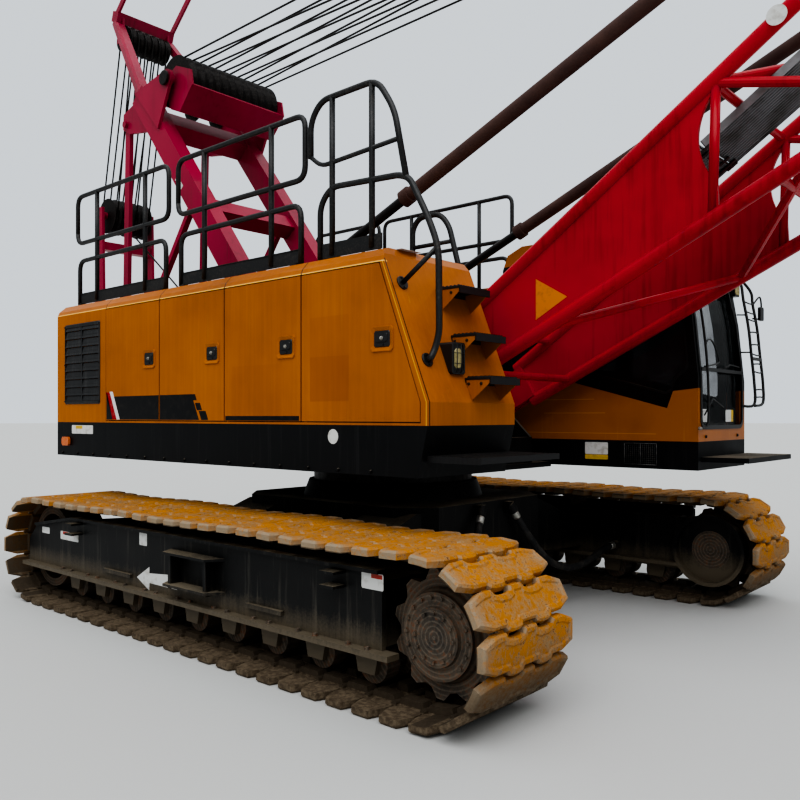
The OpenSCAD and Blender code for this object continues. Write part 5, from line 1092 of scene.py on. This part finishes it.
plate("rack_lamp", lamp_shell, "z", 2.668, 0.030, rubber)
plate("rack_lamp_lens", outline(2.08, 2.21, 1.705, 1.865), "z", 2.668, -0.006, lens_clear)
tube("rack_lamp_stalk", [[(2.150, 1.785, 2.672), (2.150, 1.760, 2.650)]], 0.012, rail_black, sides=10)
pod = [(1.560, 2.440), (1.640, 2.440), (1.650, 2.460), (1.650, 2.600), (1.635, 2.620), (1.560, 2.620),
       (1.545, 2.600), (1.545, 2.460)]
(pod_x, _, _), (beam_x, _, _) = on_screen(0, (0, 2.53), (0, 2.65))
plate("corner_lamp", pod, "x", pod_x - 0.02, 0.085, rubber)
pod_lens = [(u * 0.86 + 0.2238, v * 0.86 + 0.3542) for u, v in pod]
plate("corner_lamp_lens", pod_lens, "x", pod_x + 0.064, 0.005, lens_clear)
plate("screen_lamp", outline(0.895, 0.975, 2.610, 2.690, 0.010), "x", beam_x, 0.055, rubber)

# Operator's seat: two foam cushions in charcoal cloth on a black suspension base, between consoles that
# each carry a lever with a gaiter. Each cushion is drawn in along three sewn channels.
cloth = Finish("seat_cloth")
x, y, z = cloth.axes()
weave = (y * 2200).wave() + (x * 2200 + z * 2200).wave()
cloth.surface(cloth.mix(cloth.noise(9, 4).between(0.35, 0.75), (0.020, 0.021, 0.024), (0.043, 0.043, 0.046)), 0.85,
              bump=weave, strength=0.25, depth=0.0006)
plastic = Finish("console_plastic")
plastic.surface(plastic.mix(plastic.noise(7).between(0.4, 0.8), (0.018, 0.018, 0.019), (0.040, 0.038, 0.035)), 0.5,
                bump=plastic.noise(500), strength=0.12, depth=0.0004)
GRID = 40
SEAT_FLOOR, SEAT_Y = 1.3566, 1.185


def cushion(name, centre, size, tilt):
    """A crowned pad: full in the middle, drawn in at its edges and along its sewn channels."""
    build, lean, row = Build(), Matrix.Rotation(tilt, 3, "Y"), GRID + 1
    for face_side in (1, -1):
        for u, v in ((2 * i / GRID - 1, 2 * k / GRID - 1) for i in range(row) for k in range(row)):
            crown = max((1 - abs(u) ** 5) * (1 - abs(v) ** 5), 0) ** 0.42
            channel = sum(math.exp(-((v - c) / 0.045) ** 2) for c in (-0.42, 0.42))
            channel += math.exp(-((u - 0.35) / 0.05) ** 2) * 0.6
            high = size[2] / 2 * (crown * (1 - 0.16 * min(channel, 1.3)) if face_side > 0 else -crown ** 0.5)
            waist = 1 - 0.025 * (1 - abs(u) ** 2) * (1 if abs(v) > 0.9 else 0)
            spot = Vector((u * size[0] / 2 * (1 - 0.02 * (1 - v * v)), v * size[1] / 2 * waist, high))
            build.points.append(Vector(centre) + lean @ spot)
    for a in (i * row + k for i in range(GRID) for k in range(GRID)):
        b = row * row + a
        build.faces += [(a, a + row, a + row + 1, a + 1), (b, b + 1, b + row + 1, b + row)]
    made = build.piece(name, cloth, None, smooth=True)
    shape = bmesh.new()
    shape.from_mesh(made.data)
    bmesh.ops.remove_doubles(shape, verts=shape.verts, dist=0.0004)
    bmesh.ops.recalc_face_normals(shape, faces=shape.faces)
    if shape.calc_volume(signed=True) < 0:
        bmesh.ops.reverse_faces(shape, faces=shape.faces)
    shape.to_mesh(made.data)
    shape.free()
    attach(made, "upper")


cushion("seat_cushion", (1.265, SEAT_Y, SEAT_FLOOR + 0.285), (0.495, 0.480, 0.105), 0.0)
cushion("seat_back", (1.0265, SEAT_Y, SEAT_FLOOR + 0.645), (0.600, 0.455, 0.095), math.radians(97.5))
base = Build()
for low, high in (((1.060, 1.400, 1.025, 1.345, 0.002), (1.060, 1.400, 1.025, 1.345, 0.050)),
                  ((1.090, 1.370, 1.055, 1.315, 0.050), (1.080, 1.390, 1.045, 1.325, 0.085)),
                  ((1.100, 1.360, 1.065, 1.305, 0.085), (1.090, 1.380, 1.055, 1.315, 0.120)),
                  ((1.080, 1.390, 1.045, 1.325, 0.120), (1.090, 1.380, 1.055, 1.315, 0.155)),
                  ((1.040, 1.480, 0.985, 1.385, 0.155), (1.030, 1.490, 0.975, 1.395, 0.228))):
    base.skin(*(level(*ends, SEAT_FLOOR + z0) for *ends, z0 in (low, high)))
CONSOLES = (SEAT_Y - 0.300, SEAT_Y + 0.300)
for middle in CONSOLES:
    y0, y1 = middle - 0.068, middle + 0.068
    base.skin(level(1.132, 1.560, y0, y1, SEAT_FLOOR + 0.102),
              [(u, v, SEAT_FLOOR + 0.330) for u, v in outline(1.132, 1.598, y0, y1)])
    lid = outline(1.165, 1.560, y0 + 0.02, y1 - 0.02)
    base.skin(level(1.150, 1.590, y0 + 0.01, y1 - 0.01, SEAT_FLOOR + 0.332),
              [(u, v, SEAT_FLOOR + (0.375 if u < 1.2 else 0.360)) for u, v in lid])
seat_base = base.piece("seat_base", plastic)
for name, line, radius, finish, sides in (
        ("levers", ((1.500, 0.355), (1.505, 0.380), (1.512, 0.432)), 0.006, mesh_grey, 10),
        ("grips", ((1.511, 0.425), (1.514, 0.452), (1.518, 0.476)), 0.017, plastic, 14),
        ("gaiters", ((1.500, 0.352), (1.500, 0.362), (1.500, 0.372), (1.500, 0.384)), 0.024, rubber, 14)):
    routes = [[(u, y0, SEAT_FLOOR + v) for u, v in line] for y0 in CONSOLES]
    tube(f"console_{name}", routes, radius, finish, sides=sides)
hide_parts("cab_seat")

# Boom: a lattice of round tubes between four chords, with solid plates at its foot, in crimson paint. A
# grating lies along it under its top lacing. It holds a blank triangle, a round blank sign and pin heads.
BOOM_FOOT, BOOM_ANGLE = Vector((0.610, 0, 1.580)), math.radians(30.4)
boom_along = Vector((math.cos(BOOM_ANGLE), 0, math.sin(BOOM_ANGLE)))
boom_up = Vector((-math.sin(BOOM_ANGLE), 0, math.cos(BOOM_ANGLE)))


def on_boom(s, n, y=0.0):
    """A point of the boom: s along it from its foot pin, n above its middle line, y to its left."""
    return BOOM_FOOT + boom_along * s + boom_up * n + Vector((0, y, 0))


def crimson(name, wheels=(), fresh=(0.36, 0.0110, 0.048), faded=(0.26, 0.0075, 0.036)):
    """Crimson paint with streaks and chips; greased steel inside the wheels (X, Z, radius, half width)."""
    made = Finish(name)
    x, y, z = made.axes()
    _, _, up = made.axes(made.facing)
    runs, cloud, grit = made.weather(26, 1.5, 1.3, 75)
    base = made.mix(cloud.between(0.38, 0.72), fresh, faded)
    grimy = made.mix((cloud * 0.5 + runs * 0.7).between(0.62, 0.86) * 0.55, base, (0.085, 0.006, 0.010))
    chips = made.mix((grit * 0.8 + cloud * 0.3).between(0.76, 0.83), grimy, (0.10, 0.035, 0.020))
    settled = up.between(0.7, 0.97) * (cloud + grit * 0.3).between(0.45, 0.85) * 0.22
    colour, rough, metal = made.mix(settled, chips, (0.34, 0.14, 0.11)), 0.30 + cloud * 0.18, 0.0
    for x0, z0, radius, half in wheels:
        away = ((x - x0) * (x - x0) + (z - z0) * (z - z0)).power(0.5)
        inside = (away < radius) * (y.size() < half)
        film = made.mix(grit.between(0.4, 0.7), (0.014, 0.013, 0.013), (0.042, 0.0351, 0.0312))
        colour, rough, metal = made.mix(inside, colour, film), rough + inside * 0.25, inside * 0.6 + metal
    return made.surface(colour, rough, metal, bump=runs * 0.3 + grit * 0.2, strength=0.15, coat=0.08, specular=0.25)


boom_red = crimson("boom_paint", fresh=(0.50, 0.0100, 0.022), faded=(0.37, 0.0065, 0.015))
dress(boom_red, "boom_foot", "boom_head")
sheave_steel = patchy("sheave_steel", (50, 4, 0.7), 0.45, 0.7, (0.016, 0.015, 0.015), (0.060, 0.052, 0.045),
                      0.5, 0.7, relief=0.2)
dress(sheave_steel, "boom_sheaves")
galvanised = Finish("galvanised_steel")
spangle, grime = galvanised.noise(30, 2), galvanised.noise(6, 4)
galvanised.surface(galvanised.mix(grime.between(0.45, 0.75), (0.30, 0.31, 0.32), (0.13, 0.125, 0.115)),
                   0.45 + spangle * 0.2, 0.55, bump=spangle, strength=0.1, depth=0.001)
walk_slope = math.atan2(0.600 - 0.127, 6.5)
walk_seat = 0.127 * math.cos(walk_slope) - 0.027 - 0.0003
walk_along = boom_along * math.cos(walk_slope) + boom_up * math.sin(walk_slope)
walk_up = boom_up * math.cos(walk_slope) - boom_along * math.sin(walk_slope)


def on_walk(s, y, n):
    """A point of the grating: s along it, y to its left, n up from the seat of its top face."""
    return BOOM_FOOT + walk_along * s + walk_up * (walk_seat + n) + Vector((0, y, 0))


def walk_bar(build, s0, s1, y0, y1, n0, n1):
    """A bar of the grating, in the grating's own directions."""
    build.skin(*([on_walk(*spot) for spot in level(s0, s1, y0, y1, n)] for n in (n0, n1)))


grating, hinges = Build(), Build()
CROSS_PITCH = 0.0452
for s0, s1 in ((2.245, 2.545), (2.560, 6.199)):
    for y0 in (-0.231 + k * 0.0303 for k in range(16)):
        walk_bar(grating, s0 + 0.004, s1 - 0.004, y0, y0 + 0.007, -0.044, -0.001)
    for s in (s0 + 0.010 + k * CROSS_PITCH for k in range(int((s1 - s0) / CROSS_PITCH))):
        walk_bar(grating, s, s + 0.016, -0.233, 0.233, -0.030, -0.004)
    for y0 in (-0.2345, 0.231):
        walk_bar(grating, s0 + 0.001, s1, y0, y0 + 0.0035, -0.0495, -0.0005)
    for s in (s0 + 0.001, s1 - 0.005):
        walk_bar(grating, s, s + 0.005, -0.2345, 0.2345, -0.0495, -0.0005)
grate = grating.piece("boom_grating", galvanised, "boom")
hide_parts("boom_walkway")
for s0, s1, low, starts in ((2.515, 2.590, -0.058, (-0.2345, -0.10, 0.07, 0.2045)),
                            (2.250, 2.600, -0.062, (-0.185, 0.155))):
    for y0 in starts:
        walk_bar(hinges, s0, s1, y0, y0 + 0.030, low, -0.0497)
hinges.piece("grating_hinges", rail_black, "boom")
tube("grating_hinge_pin", [[on_walk(2.5525, y, -0.052) for y in (-0.236, 0.0, 0.236)]], 0.007, rail_black, "boom", 10)
tube("boom_posts", [[on_boom(2.835, 0.318, y), on_boom(2.460, -0.285, y)] for y in (-0.600, 0.600)], 0.0265,
     boom_red, "boom", sides=18)
triangle = patchy("sticker_orange", (30,), 0.5, 0.8, (0.66, 0.20, 0.010), (0.40, 0.14, 0.03), 0.45)
plate("boom_triangle", [(1.7705, 2.3537), (1.7705, 2.0973), (1.9929, 2.2233)], "y", -0.6125, -0.0008, triangle, "boom")
sign_x, _, sign_z = on_boom(3.236, 0.362)
plate("boom_round_sign", circle(0.052, 32, sign_x, sign_z), "y", -0.645, -0.003, sticker_finish, "boom")
JOINT, CHORD = 6.5, 0.600
corners = [(n, y) for n in (-CHORD, CHORD) for y in (-CHORD, CHORD)]
tube("boom_coupling_pins", [[on_boom(JOINT, n, y + d) for d in (-0.075, -0.07, 0.07, 0.075)] for n, y in corners],
     0.022, galvanised, "boom", sides=16)
tube("boom_pin_clips", [[on_boom(JOINT, n + d, y - 0.062) for d in (0.035, 0, -0.035)] for n, y in corners],
     0.004, sheave_steel, "boom")

# Gantry and tail post: welded box legs in a duller crimson. Their sheaves run in grease, and the rope
# between them is 18 mm steel wire. The nest of the luffing rope hangs in its own red housing.
GANTRY_TOP, TAIL_TOP, NEST, BRIDLE = (-3.840, 5.715), (-4.250, 3.800), (-2.380, 4.750), (3.160, 5.050)
gantry_red = crimson("gantry_paint", [(*GANTRY_TOP, 0.146, 0.268)])
dress(gantry_red, "gantry")
dress(crimson("tail_paint", [(*TAIL_TOP, 0.206, 0.240)]), "tail_sheaves")
dress(crimson("nest_paint", [(*NEST, 0.2505, 0.5405)]), "luffing_nest")
sticker = [(-2.190 - 0.6247 * a + 0.7809 * b, 3.712 + 0.7809 * a + 0.6247 * b)
           for a, b in ((-0.075, -0.027), (-0.075, 0.027), (0.075, 0.027), (0.075, -0.027))]
plate("leg_sticker", sticker, "y", -0.6155, -0.0008, sticker_finish)
struts, high, low = Build(), Vector((-2.045, 0, 3.515)), Vector((-3.560, 0, 1.552))
way = (low - high).normalized()
deep = Vector((-way.z, 0, way.x)) * 0.026
for y in (-0.545, 0.545):
    struts.skin(*([end + deep * a + Vector((0, y + 0.028 * b, 0)) for a, b in ((1, 1), (1, -1), (-1, -1), (-1, 1))]
                  for end in (high, low)))
struts.piece("gantry_struts", gantry_red)


def turned(name, profile, axis, middle, body="upper", sides=40):
    """A turned steel part: profile gives (distance along Y, radius) from the middle of its axis (X, Z)."""
    rings = [[(u, middle + y, v) for u, v in circle(radius, sides, *axis)] for y, radius in profile]
    Build().skin(*rings).piece(name, sheave_steel, body)


half_sheave = [(0.060, 0.0605), (0.060, 0.078), (0.034, 0.078), (0.033, 0.116), (0.027, 0.121), (0.022, 0.120),
               (0.007, 0.098)]
sheave_profile = [(-y, radius) for y, radius in half_sheave] + half_sheave[::-1]
for i, y in enumerate((0.128, 0.442)):
    turned(f"guide_sheave_{i}", sheave_profile, (-3.060, 4.830), y)
cap_profile = [(0.0, 0.0), (0.001, 0.070), (0.018, 0.070), (0.022, 0.064), (0.022, 0.0)]
for side, name in SIDES:
    turned(f"nest_axle_cap_{name}", [(side * y, radius) for y, radius in cap_profile], NEST, side * 0.652,
           "luffing_nest", 28)
rope_steel = Finish("wire_rope")
around, along, _ = rope_steel.axes(rope_steel.node("ShaderNodeUVMap", {"uv_map": "along"}, {}))
strands = (around * (math.tau * 6) + along * 190).wave()
rope_steel.surface(rope_steel.mix((strands * 0.5 + rope_steel.noise(4, 4)).between(0.1, 1.0),
                                  (0.008, 0.0078, 0.0075), (0.050, 0.047, 0.043)),
                   0.45, 0.6, bump=strands, strength=0.6)
ROPE = 0.009


def rope_arc(axis, radius, y, start, end, steps):
    """Rope lying in the groove of a sheave, whose axis is at (X, Z), from one angle to another."""
    angles = (start + (end - start) * k / steps for k in range(steps + 1))
    return [(axis[0] + radius * math.cos(a), y, axis[1] + radius * math.sin(a)) for a in angles]


FALLS, QUARTER, NEST_GROOVE, BRIDLE_GROOVE, TAIL_GROOVE = 12, math.pi / 2, 0.221, 0.155, 0.175
rise = Vector((5.54, 0, 0.30)).normalized()
lift = Vector((-rise.z, 0, rise.x))
falls = []
for i in range(FALLS):
    above = BRIDLE_GROOVE if i % 2 == 0 else -BRIDLE_GROOVE
    start = Vector((NEST[0], (i - 5.5) * 0.090, NEST[1])) + lift * NEST_GROOVE
    end = Vector((BRIDLE[0], (i // 2 - 2.5) * 0.092, BRIDLE[1])) + lift * above
    falls.append([start + (end - start) * k / 12 for k in range(13)])
luffing_rope = tube("luffing_rope", falls, ROPE, rope_steel, "luffing_nest")
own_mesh(luffing_rope)
nest_turns = [rope_arc(NEST, NEST_GROOVE, (i - 5.5) * 0.090, QUARTER, 3 * QUARTER, 20) for i in range(FALLS)]
tube("nest_rope_turns", nest_turns, ROPE, rope_steel, "luffing_nest")
bridle_turns = [rope_arc(BRIDLE, BRIDLE_GROOVE, (i - 2.5) * 0.092, -QUARTER, QUARTER, 16) for i in range(6)]
tube("bridle_rope_turns", bridle_turns, ROPE, rope_steel, "stays")
square = math.atan2(-0.410, 1.915)
tail_routes = []
for i in range(6):
    over = rope_arc(GANTRY_TOP, 0.121, (i - 2.5) * 0.088, square, square + math.pi, 12)
    under = rope_arc(TAIL_TOP, TAIL_GROOVE, (i - 2.5) * 0.078, square + math.pi, square + math.tau, 12)
    tail_routes.append(under[-1:] + over + under)
tube("gantry_rope", tail_routes, ROPE, rope_steel)

# Stays and hook block: wire stays 32 mm thick, closed in sockets at the bridle, and a yellow hook block
# with black bars, its forged hook hanging under a swivel.
stay_steel = Finish("stay_rope")
x, y, z = stay_steel.axes()
twist = ((x * 0.86 + z * 0.5) * 260 + y * 500).wave()
stay_steel.surface(stay_steel.mix((twist * 0.4 + stay_steel.noise(6, 4)).between(0.1, 0.9),
                                  (0.010, 0.0095, 0.009), (0.050, 0.046, 0.042)), 0.5, 0.6, bump=twist)
dress(stay_steel, "stays")
hook_paint = Finish("hook_block_paint")
x, y, z = hook_paint.axes()
drop_x, drop_z = x - 12.0518, z - 5.5494
bars = ((drop_x * 16 + drop_z * 16).wave() > 0.0) * (drop_z < 0.30)
grit, cloud = hook_paint.noise(70, 3, 0.7), hook_paint.noise(5, 4)
coat = hook_paint.mix(bars, (0.60, 0.27, 0.008), (0.012, 0.012, 0.013))
chips = hook_paint.mix((grit * 0.7 + cloud * 0.4).between(0.70, 0.80), coat, (0.10, 0.05, 0.03))
wheel = ((drop_x * drop_x + drop_z * drop_z).power(0.5) < 0.246) * (y.size() < 0.1385)
bare = wheel.most(drop_z < -0.432).most(drop_z > 0.275)
hook_paint.surface(hook_paint.mix(bare, chips, (0.035, 0.032, 0.030)), 0.42, bare * 0.6, bump=grit, strength=0.15)
dress(hook_paint, "hook_block")

# Backstops: a black rod that slides in a red-brown tube, one on each side, from a boss on the upper frame
# to an eye on the boom. Both are turned steel, the rod under a film of grease.
stop_brown = Finish("backstop_paint")
cloud, grit = stop_brown.noise(4, 4), stop_brown.noise(80, 3, 0.7)
rusted = stop_brown.mix((cloud + grit * 0.4).between(0.55, 0.95), (0.052, 0.020, 0.016), (0.095, 0.042, 0.030))
stop_brown.surface(rusted, 0.75, bump=grit, strength=0.2)
dress(stop_brown, "backstop_tubes")
rod_black = patchy("backstop_rod", (6, 4), 0.4, 0.7, (0.014, 0.012, 0.012), (0.035, 0.028, 0.026), 0.36, 0.5)
dress(rod_black, "backstop_rods")

# Winches: cast drums with turned flanges, each wound with one layer of wire rope. The front one's rope
# runs over a guide roller on the foot pin and on through the boom to the head.
drum_steel = Finish("winch_paint")
_, y, _ = drum_steel.axes()
grit, cloud = drum_steel.noise(60, 3, 0.7), drum_steel.noise(5, 4)
drum = drum_steel.mix(cloud.between(0.4, 0.7), (0.020, 0.020, 0.021), (0.055, 0.048, 0.040))
drum_steel.surface(drum_steel.mix(y.size() > 0.331, (0.032, 0.031, 0.030), drum), 0.5 + grit * 0.2, 0.4,
                   bump=grit + (y * 260).wave() * 0.6)
dress(drum_steel, "winch_front", "winch_middle", "winch_rear")
TURNS, TURN_STEPS, WOUND = 32, 26, 0.200
for name, x0, z0 in (("front", -0.130, 1.510), ("middle", -1.150, 1.480), ("rear", -1.900, 1.480)):
    angles = [math.tau * k / TURN_STEPS for k in range(TURNS * TURN_STEPS + 1)]
    helix = [(x0 + WOUND * math.cos(a), -0.318 + 0.0195 * a / math.tau, z0 + WOUND * math.sin(a)) for a in angles]
    tube(f"winch_rope_{name}", [helix], ROPE, rope_steel, f"winch_{name}", sides=6)
    heads = [((u, side * 0.3605, v), (0, side, 0)) for side in (-1, 1) for u, v in circle(0.262, 16, x0, z0)]
    bolts(f"winch_bolts_{name}", heads, drum_steel, f"winch_{name}")
tube("foot_guide_shaft", [[(0.610, y, 1.580) for y in (-0.525, 0.525)]], 0.024, sheave_steel, sides=16)
tube("foot_guide_roller", [[(0.610, y, 1.580) for y in (-0.150, -0.149, 0.149, 0.150)]], 0.055, sheave_steel, sides=28)
start, end = on_boom(0.35, 0.050, 0.090), on_boom(12.940, -0.324, 0.090)
hoist = [(0.610, 0.090, 1.6445)] + [start + (end - start) * k / 16 for k in range(17)]
tube("hoist_rope", [hoist], ROPE, rope_steel, "boom")
tube("hoist_rope_lead", [[(-0.118, 0.020, 1.7105), (0.2, 0.052, 1.682), (0.610, 0.090, 1.6445)],
                         [(-1.905, 0.120, 1.681), (-3.2, 0.138, 2.80), (-4.385, 0.156, 3.690)]], ROPE, rope_steel)

# Engine: one block of machinery behind the right-hand doors, its cast parts oily and dark.
engine_grey = Finish("engine_castings")
x, _, z = engine_grey.axes()
oil = engine_grey.noise(3, 5)
joints = ((x * 14).wave().size() < 0.06).most((z * 17).wave().size() < 0.05)
oily = engine_grey.mix((oil + joints * 0.4).between(0.35, 0.9), (0.075, 0.078, 0.078), (0.022, 0.020, 0.018))
engine_grey.surface(oily, 0.55, 0.2, bump=oil - joints, depth=0.004)
dress(engine_grey, "engine")
